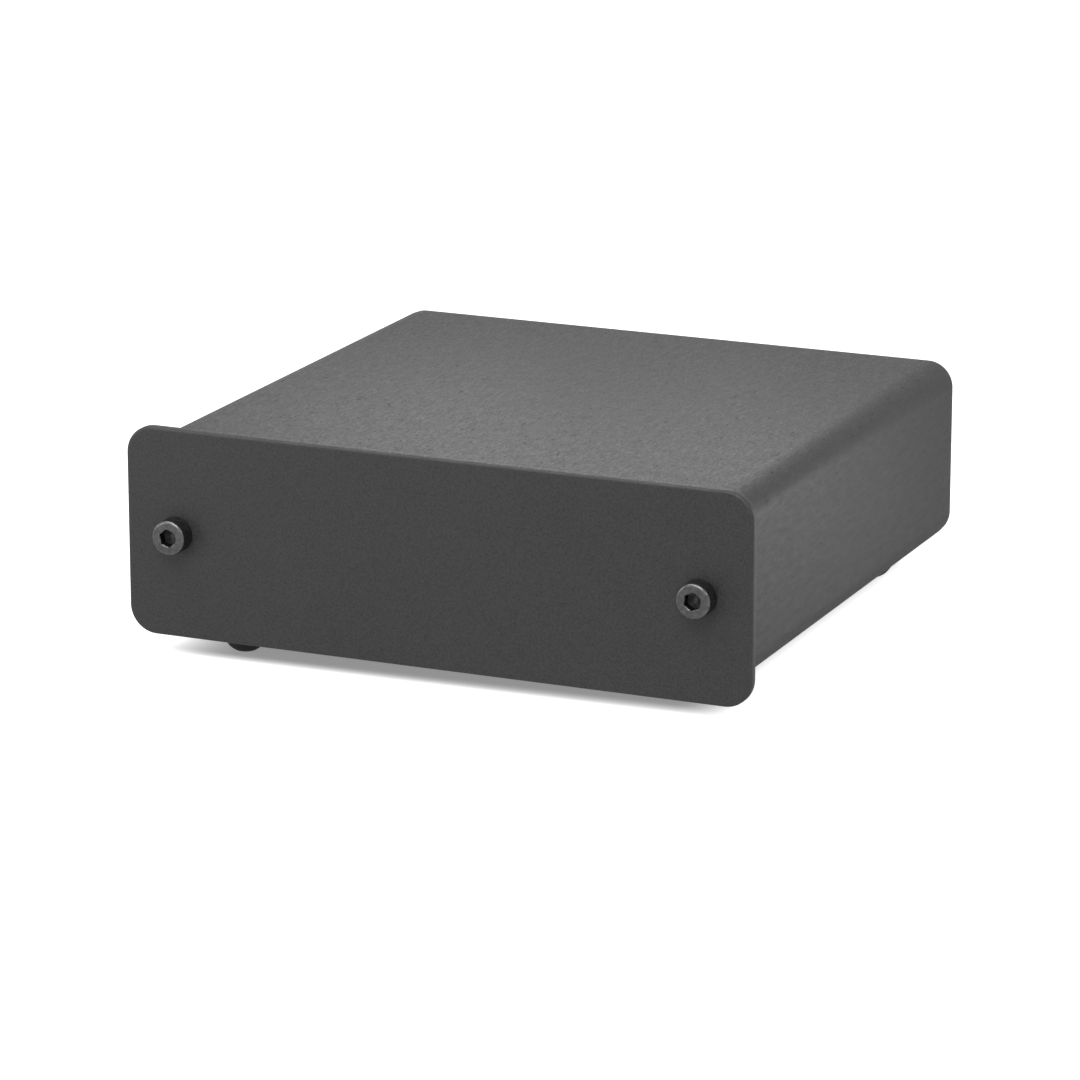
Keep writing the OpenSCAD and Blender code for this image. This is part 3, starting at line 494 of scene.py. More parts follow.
# %% Rubber, plastics and metals
def moulded(name, colour, roughness, grain=0.3 * MM, spread=0.12, depth=0.004 * MM):
    """A moulded or rubbery surface with a faint grain and uneven sheen."""
    finish, tree, shader = start_finish(name, colour, roughness)
    fine, broad = noise(tree, grain), noise(tree, 12 * grain, detail=3.0)
    dark, light = scaled(colour, 1 - spread), scaled(colour, 1 + spread)
    body = blend_colours(tree, between(tree, broad, *LUMPS), dark, light)
    body = blend_colours(tree, wear_and_shade_share(tree, 4 * grain, 0.35), body, scaled(colour, 1.5, 0.01))
    tree.links.new(body, shader.inputs["Base Color"])
    rough = between(tree, fine, *LUMPS, roughness - 0.06, roughness + 0.06)
    tree.links.new(rough, shader.inputs["Roughness"])
    add_bump(tree, shader, fine, depth)
    return finish


def metal(name, colour, roughness, turning, spread=0.08):
    """Bare or plated metal. Turning is the spacing of tool marks along Y, or 0 for none."""
    finish, tree, shader = start_finish(name, colour, roughness, Metallic=1.0)
    cloudy = noise(tree, 1.5 * MM, detail=3.0)
    dark, light = scaled(colour, 1 - spread), scaled(colour, 1 + spread)
    body = blend_colours(tree, between(tree, cloudy, *LUMPS), dark, light)
    body = blend_colours(tree, wear_and_shade_share(tree, 1 * MM, 0.4), body, scaled(colour, 1.15, 0.03))
    tree.links.new(body, shader.inputs["Base Color"])
    rough = between(tree, cloudy, *LUMPS, roughness - 0.05, roughness + 0.07)
    tree.links.new(rough, shader.inputs["Roughness"])
    if turning:
        marks = noise(tree, turning, detail=1.0, stretch=(0.02, 1.0, 0.02))
        add_bump(tree, shader, marks, 0.004 * MM)
    return finish


finish_of = {}
for name, colour, roughness, more in (
    ("foot_rubber", (0.022, 0.022, 0.022), 0.62,
     dict(grain=0.25 * MM, spread=0.2, depth=0.012 * MM)),
    ("black_plastic", (0.024, 0.024, 0.025), 0.42, {}),
    ("white_plastic", (0.76, 0.75, 0.71), 0.32, dict(spread=0.03)),
    ("red_plastic", (0.48, 0.022, 0.02), 0.32, {}),
    ("chip_resin", (0.02, 0.02, 0.021), 0.55, dict(grain=0.12 * MM)),
    ("capacitor_sleeve", (0.03, 0.045, 0.1), 0.25, dict(grain=0.6 * MM)),
    ("film_case", (0.42, 0.05, 0.03), 0.34, {}),
    ("resistor_coat", (0.25, 0.45, 0.56), 0.3, dict(grain=0.4 * MM)),
):
    finish_of[name] = moulded(name, colour, roughness, **more)
for name, colour, roughness, turning in (
    ("gold_plate", (0.88, 0.64, 0.29), 0.22, 0.12 * MM),
    ("tinned_metal", (0.72, 0.72, 0.7), 0.26, 0.0),
    ("zinc_steel", (0.56, 0.57, 0.57), 0.36, 0.0),
    ("bar_aluminium", (0.74, 0.75, 0.76), 0.34, 0.2 * MM),
):
    finish_of[name] = metal(name, colour, roughness, turning)
print("plain finishes:", *finish_of)

# %% [markdown]
# ### The circuit board and the choke
# The board's green mask shows the copper tracks below as slightly lighter ground. Square cells
# at a steep threshold give a generic pattern of tracks. The ring choke is wound with enamelled
# wire: bands that run round the ring, from the angle about its own middle. Tracks and wires
# could be pieces of their own, but nobody sees them in the closed case.

# %% Board and choke
def board_mask():
    """Green mask over woven glass, with paler tracks below."""
    finish, tree, shader = start_finish("board_mask", (0.02, 0.11, 0.055), 0.3)
    ground, over_track = (0.016, 0.085, 0.043), (0.03, 0.15, 0.075)
    cells = tree.nodes.new("ShaderNodeTexVoronoi")
    cells.distance = "CHEBYCHEV"
    cells.inputs["Scale"].default_value = 1 / (4 * MM)
    cells.inputs["Randomness"].default_value = 0.55
    tree.links.new(place_on(tree), cells.inputs["Vector"])
    track = between(tree, cells.outputs["Distance"], 0.36, 0.38)
    body = blend_colours(tree, track, ground, over_track)
    tree.links.new(body, shader.inputs["Base Color"])
    weave = noise(tree, 0.4 * MM, detail=1.0)
    tree.links.new(between(tree, weave, *LUMPS, 0.26, 0.36), shader.inputs["Roughness"])
    add_bump(tree, shader, track, 0.02 * MM)
    return finish


def copper_winding():
    """Enamelled wire round the ring: a sine of the angle about the ring's own axis, 48 turns."""
    finish, tree, shader = start_finish(
        "copper_winding", (0.45, 0.17, 0.06), 0.28, Metallic=0.8)
    # Painted shade in the gaps between the turns, painted light on each turn's crown.
    painted_gap_shade, painted_crown_light = (0.2, 0.07, 0.03), (0.55, 0.22, 0.08)
    centre = middle("supply_choke")
    shifted = tree.nodes.new("ShaderNodeMapping")
    shifted.inputs["Location"].default_value = (-centre.x, -centre.y, 0)
    tree.links.new(place_on(tree), shifted.inputs["Vector"])
    parts = split(tree, shifted.outputs["Vector"])
    turn = reckon(tree, "ARCTAN2", parts["Y"], parts["X"])
    wire = reckon(tree, "SINE", reckon(tree, "MULTIPLY", turn, 48.0))
    body = blend_colours(tree, between(tree, wire, -1, 1), painted_gap_shade, painted_crown_light)
    tree.links.new(body, shader.inputs["Base Color"])
    add_bump(tree, shader, wire, 0.08 * MM)
    return finish


finish_of.update({
    "case_coat": sleeve_coat, "panel_coat": plate_coat, "rear_coat": plate_coat,
    "black_screw": screw_finish, "board_laminate": board_mask(),
    "copper_winding": copper_winding(),
})
print(len(finish_of), "finishes for", len(set(slot_of.values())), "material slots")

# %% [markdown]
# ## Pierced plates
# A pierced plate is its outline and its holes, each carried through a profile with rounded
# edges, and two flat faces between them. The flats are cut into triangles by a constrained
# triangulation, which keeps every rim. Triangles whose corners all lie on one hole's rim
# would fill that hole, so they are dropped. A Boolean modifier could cut the holes, but it
# leaves ragged faces round them, and no bevel runs cleanly along those.

# %% Pierced plates
INSIDE_EDGES, SAME_POINT = 1, 1e-9


def circle_hole(centre, radius, steps=64):
    """A hole's points, with normals that point into the hole, away from the plate."""
    angle = np.arange(steps) / steps * 2 * math.pi
    out = np.stack([np.cos(angle), np.sin(angle)], axis=-1)
    return np.asarray(centre) + radius * out, -out


def plate_edge(front, back, front_round, back_round):
    """A plate's edge as a profile: a flat strip, two rounded edges and another flat strip."""
    return rows(
        (front_round + GUARD, front),
        arc((front_round, front + front_round), front_round, -90, -180, wear_and_shade=1.0),
        arc((back_round, back - back_round), back_round, 180, 90, steps=4, wear_and_shade=0.6),
        (back_round + GUARD, back),
    )


def flat_face(points, rims, rear):
    """Triangles between the rims, each given by its point numbers. The outline comes first.

    A rear face looks along Y and a front face against it.
    """
    rim = np.concatenate(rims)
    owner = np.repeat(np.arange(len(rims)), [len(r) for r in rims])
    starts = np.cumsum([0] + [len(r) for r in rims])
    following = np.concatenate([s + np.roll(np.arange(len(r)), -1) for s, r in zip(starts, rims)])
    edges = np.stack([np.arange(len(rim)), following], axis=1)
    flat = points[rim][:, [0, 2]]
    cut = delaunay_2d_cdt(flat.tolist(), edges.tolist(), [], INSIDE_EDGES, SAME_POINT)
    assert len(cut[0]) == len(flat)
    tri = np.array(cut[2])
    whose = owner[tri]
    one_rim = (whose[:, 0] == whose[:, 1]) & (whose[:, 1] == whose[:, 2])
    tri = tri[~(one_rim & (whose[:, 0] > 0))]
    return rim[tri] if rear else rim[tri][:, ::-1]


def pierced_plate(outline, holes, front, back, front_round, back_round, hole_round):
    """A plate between two depths, with rounded outer edges and slightly broken hole edges."""
    outer_edge = plate_edge(front, back, front_round, back_round)
    hole_edge = plate_edge(front, back, hole_round, hole_round)
    points, faces, wear_and_shade, rims, start = [], [], [], ([], []), 0
    for loop, profile in [(outline, outer_edge)] + [(hole, hole_edge) for hole in holes]:
        place, worn = carried(loop, profile)
        count = len(loop[0])
        faces.append(quads(len(profile), count, close_rows=False, first=start))
        points.append(place)
        wear_and_shade.append(worn)
        rims[0].append(start + np.arange(count))
        start += len(place)
        rims[1].append(start - count + np.arange(count))
    points = np.concatenate(points)
    faces += [flat_face(points, rims[0], rear=False), flat_face(points, rims[1], rear=True)]
    return points, faces, np.concatenate(wear_and_shade)


print("a round hole has", len(circle_hole((0.0, 0.0), 1 * MM)[0]), "points")

# %% [markdown]
# ## The front plate
# A flat plate, larger than the sleeve all round, with round corners. Its front edge is rolled
# over by half a millimetre, which draws the pale line along its top. Two holes take the screws.

# %% Front plate
panel_low, panel_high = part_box("front_panel")
PLATE_CORNER = 4.4 * MM
SCREW_HOLE = 1.65 * MM
bar_centre = middle("right_tie_bar")
screw_spots = [(side * bar_centre.x, bar_centre.z) for side in (-1, 1)]
front_plate = pierced_plate(
    outline_of("front_panel", PLATE_CORNER), [circle_hole(s, SCREW_HOLE) for s in screw_spots],
    panel_low.y, panel_high.y, front_round=0.45 * MM, back_round=0.15 * MM, hole_round=0.12 * MM,
)
add_piece("front_plate", front_plate, "front_panel")

# %% [markdown]
# ## The sleeve
# One tube of bent sheet. Its wall's section, with four small rounded edges, is carried round
# the outline, and both directions close, so the tube needs no caps. A curve with a bevel shape
# could make it too, but it would have no wear values for its rims.

# %% Sleeve
sleeve_low, sleeve_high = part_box("sleeve")
SLEEVE_CORNER, SLEEVE_WALL, SLEEVE_EDGE = 4.3 * MM, 1.2 * MM, 0.2 * MM


def tube(outline, wall, front, back, edge):
    """The wall's closed section (shrink, depth) carried round the outline."""
    section = rows(
        (0.0, front + edge + GUARD), (0.0, back - edge - GUARD),
        arc((edge, back - edge), edge, 180, 90, wear_and_shade=1.0),
        arc((wall - edge, back - edge), edge, 90, 0),
        (wall, back - edge - GUARD), (wall, front + edge + GUARD),
        arc((wall - edge, front + edge), edge, 0, -90),
        arc((edge, front + edge), edge, -90, -180, wear_and_shade=1.0),
    )
    points, wear_and_shade = carried(outline, section)
    return outward(points, [quads(len(section), len(outline[0]))], wear_and_shade)


sleeve_outline = outline_of("sleeve", SLEEVE_CORNER, steps=24)
sleeve_tube = tube(sleeve_outline, SLEEVE_WALL, sleeve_low.y, sleeve_high.y, SLEEVE_EDGE)
add_piece("sleeve_tube", sleeve_tube, "sleeve")

# %% [markdown]
# ## Turned work
# A turned piece is a profile of radii carried round its axis, with the same guard strips
# beside its rounded edges. Screws, feet, sockets and nuts are all made this way. The Screw
# modifier turns a profile too, but here the radius may also change with the angle, as a
# hexagon, a knurl or a thread needs.

# %% Turned work
def turned(profile, centre, around=96, axis="Y", shape_of=None, poles=False):
    """A profile of (radius, height, wear) rows carried round an axis through centre.

    A point is centre + radius * (cos a, sin a) across the axis. shape_of may change the radii by
    row and angle. With poles, both ends close in a point on the axis. Without, the profile
    closes on itself.
    """
    angle = np.arange(around)[None, :] / around * 2 * math.pi
    radius = np.broadcast_to(profile[:, 0, None], (len(profile), around))
    height = np.broadcast_to(profile[:, 1, None], radius.shape)
    if shape_of:
        radius = shape_of(radius, height, angle)
    one, other = centre[0] + radius * np.cos(angle), centre[1] + radius * np.sin(angle)
    order = [one, height, other] if axis == "Y" else [one, other, height]
    points = np.stack(order, axis=-1).reshape(-1, 3)
    wear_and_shade = np.broadcast_to(profile[:, 2, None], radius.shape).reshape(-1)
    faces = [quads(len(profile), around, close_rows=not poles)]
    if poles:
        ends = points.reshape(len(profile), around, 3)[[0, -1]].mean(axis=1)
        ring, pole = np.arange(around), np.full(around, len(points))
        following = (ring + 1) % around
        last = (len(profile) - 1) * around
        faces += [
            np.stack([pole, following, ring], axis=1),
            np.stack([pole + 1, last + ring, last + following], axis=1),
        ]
        points, wear_and_shade = np.concatenate([points, ends]), np.concatenate([wear_and_shade, [0.0, 0.0]])
    return outward(points, faces, wear_and_shade)


trial = turned(rows((1.0, 0.0), (1.0, 1.0)), (0.0, 0.0), poles=True)
print("a trial cylinder has", round(volume_of(*trial[:2]) / math.pi, 4), "of a round one's volume")

# %% [markdown]
# ## Cap screws
# Black socket-head cap screws hold the plates. The head is turned: a knurled side, a rounded
# rim and a flat face. The socket morphs from a round countersink into a hexagon: in a ring with
# hexagon share h the radius is r * (1 + h * (1 / cos f - 1)), where f is the angle folded into
# one of the six sides. The knurl is a shallow sine round the side. The socket could be cut out
# as a hexagonal hole, but the morph keeps the whole screw one clean grid.

# %% Cap screws
# A wear value below 0 marks the socket recess for a nearly black painted shade.
RECESS_SHADE_MARK = -1.0


def folded(angle, turn=0.0):
    """The angle from the middle of the nearest side of a hexagon."""
    side = math.pi / 3
    return (angle - turn + side / 2) % side - side / 2


def cap_screw(centre, seat, way, turn):
    """A cap screw whose head stands on the seat plane and faces the way of Y."""
    head_r, head_h, rim = 2.75 * MM, 3.0 * MM, 0.48 * MM
    shank_r, shank, socket, depth = 1.5 * MM, 8.0 * MM, 1.25 * MM, 1.5 * MM
    bevel, knurl_depth, ridges = 0.10 * MM, 0.05 * MM, 54
    tip, strip, foot, lip = 0.4 * MM, 0.1 * MM, 0.06 * MM, 0.05 * MM
    low, high = 0.35 * MM, head_h - rim - 0.12 * MM
    bottom = head_h - depth
    profile = rows(
        (shank_r - tip, -shank), (shank_r, -shank + tip), (shank_r, -strip), (shank_r, 0.0),
        (head_r - 0.2 * MM, 0.0), (head_r - foot, 0.0), (head_r, foot),
        (head_r, low), (head_r, low + strip), (head_r, high - strip), (head_r, high),
        arc((head_r - rim, head_h - rim), rim, 0, 90, steps=10, wear_and_shade=0.55),
        (head_r - rim - 0.15 * MM, head_h), (socket + 2.4 * bevel, head_h),
        arc((socket + 2.0 * bevel, head_h - lip), lip, 90, 150, steps=2, wear_and_shade=0.3),
        (socket, head_h - bevel), (socket, head_h - bevel - 0.12 * MM, RECESS_SHADE_MARK),
        (socket, bottom + lip, RECESS_SHADE_MARK), (socket, bottom, RECESS_SHADE_MARK),
        (0.6 * socket, bottom - 0.15 * MM, RECESS_SHADE_MARK),
    )
    radius, height = profile[:, 0], profile[:, 1]
    share = ((radius <= socket * 1.0001) & (height > 0)).astype(float)[:, None]
    share[-1] = 0.5
    knurled = ((radius == head_r) & (height > low) & (height < high)).astype(float)[:, None]

    def shape_of(radius, height, angle):
        hexagon = radius * (1 + share * (1 / np.cos(folded(angle, turn)) - 1))
        return hexagon - knurled * knurl_depth * (0.5 - 0.5 * np.cos(ridges * angle))

    profile = profile * (1, way, 1) + (0, seat, 0)
    return turned(profile, centre, around=216, shape_of=shape_of, poles=True)


rear_low, rear_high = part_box("rear_panel")
rear_face = rear_high.y
key_turns = (math.radians(12), math.radians(-6))
for name, seat, way in (("front", panel_low.y, -1), ("rear", rear_face, 1)):
    pair = [cap_screw(spot, seat, way, turn) for spot, turn in zip(screw_spots, key_turns)]
    add_piece(name + "_cap_screws", joined(pair), name + "_screws")

# %% [markdown]
# ## Feet
# Four rubber domes carry the case: a short rim against the sleeve, a cone and a round tip with
# a small flat that stands on the floor. Squashed balls would look alike from above, but from
# the side the cone shows. They are turned about upright axes.

# %% Feet
def foot_shape(centre, top):
    """A turned foot: rim, cone, and a tip of 3.6 mm radius cut flat where it stands.

    The cone touches the round tip, so it leans by the angle from the tip's centre to the rim
    less the angle whose cosine is the tip's radius over that distance.
    """
    radius, tip, flat, rim = 5.5 * MM, 3.6 * MM, 1.65 * MM, 0.6 * MM
    soft, seam = 0.12 * MM, 0.02 * MM
    tip_z = math.sqrt(tip ** 2 - flat ** 2)
    rise = top - rim - tip_z
    lean = math.degrees(math.atan2(rise, radius) - math.acos(tip / math.hypot(radius, rise)))
    start = -math.degrees(math.acos(flat / tip))
    profile = rows(
        (flat - 0.1 * MM, 0.0), arc((0.0, tip_z), tip, start, lean, steps=14),
        (radius - seam, top - rim - seam), (radius, top - rim + 0.05 * MM),
        arc((radius - soft, top - soft), soft, 0, 90, steps=4, wear_and_shade=0.5),
        (radius - 0.5 * MM, top),
    )
    return turned(profile, centre, axis="Z", poles=True)


for foot in ("front_left_foot", "front_right_foot", "rear_left_foot", "rear_right_foot"):
    spot = middle(foot)
    add_piece(foot + "_dome", foot_shape((spot.x, spot.y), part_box(foot)[1].z), foot)

# %% [markdown]
# ## The rear plate
# It closes the sleeve behind and has a hole for everything that passes: two screws, four
# sockets with the screws of their housings, the power inlet, the ground stud, and a window for
# the selector's knob. Each hole takes its place from the piece that fills it, so that the plate
# still fits if a piece is moved in the CAD model.

# %% Rear plate
REAR_CORNER = 4.2 * MM
SOCKET_HOLE, HOUSING_SCREW_HOLE = 5.15 * MM, 1.45 * MM
INLET_HOLE, STUD_HOLE = 4.35 * MM, 2.15 * MM
WINDOW_WIDTH, WINDOW_HEIGHT, WINDOW_CORNER = 6.2 * MM, 3.6 * MM, 0.3 * MM


def rear_spot(node):
    """A CAD piece's place on the rear plate."""
    centre = middle(node)
    return centre.x, centre.z


pairs = ("input", "output")
socket_names = [f"{pair}_{side}" for pair in pairs for side in ("left", "right")]
socket_spots = {name: rear_spot(name + "_shell") for name in socket_names}
fixing_height = middle("socket_screws").z
fixing_spots = [(middle(pair + "_socket_housing").x, fixing_height) for pair in pairs]
inlet_spot, stud_spot = rear_spot("power_inlet_pin"), rear_spot("ground_stud")
rear_holes = [circle_hole(spot, SCREW_HOLE) for spot in screw_spots]
rear_holes += [circle_hole(spot, SOCKET_HOLE) for spot in socket_spots.values()]
rear_holes += [circle_hole(spot, HOUSING_SCREW_HOLE) for spot in fixing_spots]
rear_holes += [circle_hole(inlet_spot, INLET_HOLE), circle_hole(stud_spot, STUD_HOLE)]
window, window_normal = rounded_loop(
    WINDOW_WIDTH, WINDOW_HEIGHT, WINDOW_CORNER, rear_spot("selector_frame"), steps=4)
rear_holes.append((window, -window_normal))
rear_plate = pierced_plate(
    outline_of("rear_panel", REAR_CORNER, steps=24), rear_holes, rear_low.y, rear_high.y,
    front_round=0.12 * MM, back_round=0.3 * MM, hole_round=0.1 * MM,
)
add_piece("rear_plate", rear_plate, "rear_panel")

# %% [markdown]
# ## Phono sockets
# Each socket is a plated barrel with a rounded mouth, an insulator sunk into it and a slit
# tube that grips the plug's pin. The slit tube's CAD form is right already, so it only gets
# the plating. The barrel and the insulator are turned anew, because a bevel on the CAD model's
# many-sided cylinders would keep their facets.

# %% Socket barrels and insulators
def barrel(spot, start, step, end):
    """A tube with a thicker root up to the step and a rounded mouth."""
    root, outer, bore = 4.4 * MM, 4.15 * MM, 3.35 * MM
    lip, inner_lip, chamfer = 0.3 * MM, 0.2 * MM, 0.1 * MM
    profile = rows(
        (root - chamfer, start), (root, start + chamfer), (root, step),
        (outer, step), (outer, step + GUARD), (outer, end - lip - GUARD),
        arc((outer - lip, end - lip), lip, 0, 90, steps=8, wear_and_shade=1.0),
        arc((bore + inner_lip, end - inner_lip), inner_lip, 90, 180, steps=6, wear_and_shade=0.6),
        (bore, end - inner_lip - GUARD), (bore, start),
    )
    return turned(profile, spot)


def insulator(spot, start, end):
    """A plug of plastic with a funnel that leads the pin into the contact."""
    outer, hole, soft, funnel = 3.3 * MM, 2.1 * MM, 0.15 * MM, 0.3 * MM
    pin_hole, ledge = 0.4 * MM, start + 1.4 * MM
    profile = rows(
        (outer, start), (outer, end - soft - GUARD),
        arc((outer - soft, end - soft), soft, 0, 90, steps=4),
        (hole + 0.45 * MM, end), (hole + funnel, end - 0.02 * MM), (hole, end - funnel),
        (hole, ledge), (pin_hole, ledge), (pin_hole, start),
    )
    return turned(profile, spot)


for name, spot in socket_spots.items():
    low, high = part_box(name + "_shell")
    add_piece(name + "_barrel", barrel(spot, low.y, rear_face, high.y), name + "_shell")
    low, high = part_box(name + "_insulator")
    add_piece(name + "_plug_seat", insulator(spot, low.y, high.y), name + "_insulator")

# %% [markdown]
# The screws that hold the socket housings have domed heads with a crossed recess. The head's
# height is a dome less the recess, which is a smooth step of the distance from the cross. A
# cross cut out of the head would have knife edges, and this one has soft ones.

# %% Housing screws
def crossed_screw(centre, seat):
    """A pan-head screw that faces the rear: y = seat + dome(r) - depth * cross(x, z)."""
    head_r, head_h, shank_r, shank = 2.3 * MM, 1.8 * MM, 1.3 * MM, 8.0 * MM
    tip, chamfer, depth = 0.3 * MM, 0.1 * MM, 0.95 * MM
    half_width, width_step = 0.42 * MM, 0.1 * MM
    half_length, length_step = 1.45 * MM, 0.35 * MM
    share = np.linspace(0, 1, 25)[:0:-1]
    dome = head_h * (1 - 0.35 * share ** 3.5)
    profile = rows(
        (shank_r - tip, -shank), (shank_r, -shank + tip), (shank_r, 0.0),
        (head_r - chamfer, 0.0), (head_r, chamfer),
        np.stack([head_r * share, dome, 0 * share], axis=1),
    )
    points, faces, wear_and_shade = turned(profile + (0, seat, 0), centre, around=120, poles=True)
    x, z = np.abs(points[:, 0] - centre[0]), np.abs(points[:, 2] - centre[1])
    cross = np.clip((half_width - np.minimum(x, z)) / width_step, 0, 1)
    cross *= np.clip((half_length - np.maximum(x, z)) / length_step, 0, 1)
    on_head = points[:, 1] > seat + 0.3 * MM
    points[:, 1] -= on_head * cross * depth
    return points, faces, wear_and_shade


housing_screws = joined([crossed_screw(spot, rear_face) for spot in fixing_spots])
add_piece("housing_screws", housing_screws, "socket_screws")

# %% [markdown]
# ## The ground terminal
# A threaded stud, held by two nuts, clamps a wire under a washer and a knurled thumb nut.
# The thread is a helix: the radius drops by a triangle wave of height / pitch - angle / turn.
# A triangle could be wound along a helix instead, but then its ends would stay open.

# %% Threaded stud
def threaded_stud(start, end):
    """A stud of 2 mm radius with a thread of 0.7 mm pitch and chamfered ends."""
    outer, chamfer, pitch, cut = 2.0 * MM, 0.5 * MM, 0.7 * MM, 0.36 * MM
    height = np.append(np.arange(start, end, pitch / 10), end)
    to_end = np.minimum(height - start, end - height)
    radius = np.minimum(outer, outer - chamfer + to_end)
    profile = np.stack([radius, height, 0 * height], axis=1)

    def shape_of(radius, height, angle):
        phase = (height / pitch - angle / (2 * math.pi)) % 1.0
        groove = np.clip(1.25 - 2.5 * np.abs(phase - 0.5), 0.0, 1.0)
        return np.minimum(radius, outer - cut * (1 - groove))

    return turned(profile, stud_spot, around=48, shape_of=shape_of, poles=True)


low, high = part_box("ground_stud")
add_piece("threaded_stud", threaded_stud(low.y, high.y), "ground_stud")

# %% [markdown]
# Two nuts hold the stud in the rear plate. A nut's corners are cut by a cone: its radius is the
# smaller of the hexagon's and the cone's.

# %% Fixing nuts
NUT_BORE = 2.05 * MM
INNER_NUT, OUTER_NUT = 2.4 * MM, 1.8 * MM


def hex_nut(start, end):
    """A nut, 7 mm across its flats, chamfered at both ends by cones."""
    flat, drop, chamfer = 3.5 * MM, 0.3 * MM, 0.2 * MM
    corner = flat / math.cos(math.pi / 6)
    share = np.linspace(0, 1, 5)
    heights = np.concatenate([start + drop * share, end - drop * share[::-1]])
    profile = rows(
        (NUT_BORE + chamfer, start),
        np.stack([np.full(10, corner), heights, np.zeros(10)], axis=1),
        (NUT_BORE + chamfer, end), (NUT_BORE, end - chamfer), (NUT_BORE, start + chamfer),
    )

    def shape_of(radius, height, angle):
        hexagon = flat / np.cos(folded(angle))
        cone = flat - 0.05 * MM + 1.9 * np.minimum(height - start, end - height)
        on_side = radius > NUT_BORE + 0.5 * MM
        return np.where(on_side, np.minimum(hexagon, cone), radius)

    return turned(profile, stud_spot, around=144, shape_of=shape_of)


low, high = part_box("ground_fixing_nuts")
fixing_nuts = [hex_nut(low.y, low.y + INNER_NUT), hex_nut(high.y - OUTER_NUT, high.y)]
add_piece("fixing_nuts", joined(fixing_nuts), "ground_fixing_nuts")

# %% [markdown]
# The washer is a flat ring. The thumb nut's grip has V grooves: the radius drops by the depth
# less the distance from the groove's middle. A bump in the material could draw them, but they
# show in the outline, so they are in the mesh. Both pieces ride on bodies of their own, because
# the thumb nut turns out along the stud and the washer follows it.

# %% Washer and thumb nut
def washer(start, end):
    """A flat ring with rounded outer edges."""
    outer, soft, chamfer = 4.3 * MM, 0.15 * MM, 0.1 * MM
    profile = rows(
        (NUT_BORE, start + chamfer), (NUT_BORE + chamfer, start),
        arc((outer - soft, start + soft), soft, -90, 0, steps=4, wear_and_shade=0.5),
        arc((outer - soft, end - soft), soft, 0, 90, steps=4, wear_and_shade=0.7),
        (NUT_BORE + chamfer, end), (NUT_BORE, end - chamfer),
    )
    return turned(profile, stud_spot)


def thumb_nut(start, end):
    """A nut with 32 V grooves, chamfered, and a plain shoulder at its outer end."""
    outer, shoulder, shoulder_h = 4.5 * MM, 3.5 * MM, 0.8 * MM
    depth, count, bevel, strip = 0.35 * MM, 32, 0.35 * MM, 0.1 * MM
    inner_chamfer, outer_chamfer, soft = 0.25 * MM, 0.3 * MM, 0.15 * MM
    grip_end = end - shoulder_h
    profile = rows(
        (NUT_BORE + inner_chamfer, start), (outer - bevel, start),
        (outer, start + bevel, 0.5), (outer, start + bevel + strip, 0.5),
        (outer, grip_end - bevel - strip, 0.5), (outer, grip_end - bevel, 0.5),
        (outer - bevel, grip_end),
        (shoulder + strip, grip_end), (shoulder, grip_end), (shoulder, grip_end + strip),
        (shoulder, end - 0.2 * MM),
        arc((shoulder - soft, end - soft), soft, 0, 90, steps=4, wear_and_shade=0.8),
        (NUT_BORE + outer_chamfer, end), (NUT_BORE, end - outer_chamfer),
        (NUT_BORE, start + inner_chamfer),
    )

    def shape_of(radius, height, angle):
        pitch = 2 * math.pi * outer / count
        across = np.abs((angle * outer / pitch + 0.5) % 1.0 - 0.5) * pitch
        groove = np.clip(depth - across, 0, depth)
        on_grip = radius > shoulder + 0.05 * MM
        return np.where(on_grip, np.minimum(radius, outer - groove), radius)

    return turned(profile, stud_spot, around=count * 10, shape_of=shape_of)


low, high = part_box("ground_washer")
add_piece("clamp_washer", washer(low.y, high.y), "ground_washer", body="thumb_washer")
low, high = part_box("ground_thumb_nut")
add_piece("knurled_thumb_nut", thumb_nut(low.y, high.y), "ground_thumb_nut", body="thumb_nut")

# %% [markdown]
# ## Moulded and folded parts
# The power inlet, the socket housings and the selector keep their CAD form, but a real moulding
# has no knife edges. A copy of the CAD mesh is merged, its flat faces are joined, and a narrow
# bevel rounds its edges. To build them anew would take far longer and look the same.

# %% Softened copies
MERGE_WITHIN = 0.001 * MM
FLAT_WITHIN = math.radians(0.5)
BEVEL_FROM = math.radians(40)


def softened(name, node, width, body="case"):
    """A merged copy of a CAD piece with bevelled edges."""
    mesh = nodes[node].data.copy()
    mesh.name = name
    work = bmesh.new()
    work.from_mesh(mesh)
    bmesh.ops.remove_doubles(work, verts=work.verts, dist=MERGE_WITHIN)
    bmesh.ops.dissolve_limit(work, angle_limit=FLAT_WITHIN, verts=work.verts, edges=work.edges)
    work.to_mesh(mesh)
    work.free()
    give_finish(mesh, finish_of[slot_of[node]])
    piece = put_in_scene(name, mesh)
    bevel = piece.modifiers.new("soft_edges", "BEVEL")
    bevel.width, bevel.segments, bevel.limit_method = width, 2, "ANGLE"
    bevel.angle_limit = BEVEL_FROM
    bevel.use_clamp_overlap = True
    mesh.shade_smooth()
    mesh.set_sharp_from_angle(angle=CREASE)
    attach(piece, body)
    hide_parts(node)
    print(name, len(mesh.polygons), "faces before the bevel")


softened("inlet_moulding", "power_inlet", 0.12 * MM)
softened("input_housing_moulding", "input_socket_housing", 0.12 * MM)
softened("output_housing_moulding", "output_socket_housing", 0.12 * MM)
softened("selector_box", "selector_frame", 0.08 * MM)
softened("selector_knob", "selector_slider", 0.12 * MM, body="gain_slider")

# %% [markdown]
# The inlet's centre pin is a rod with a rounded tip. It is turned like the sockets.

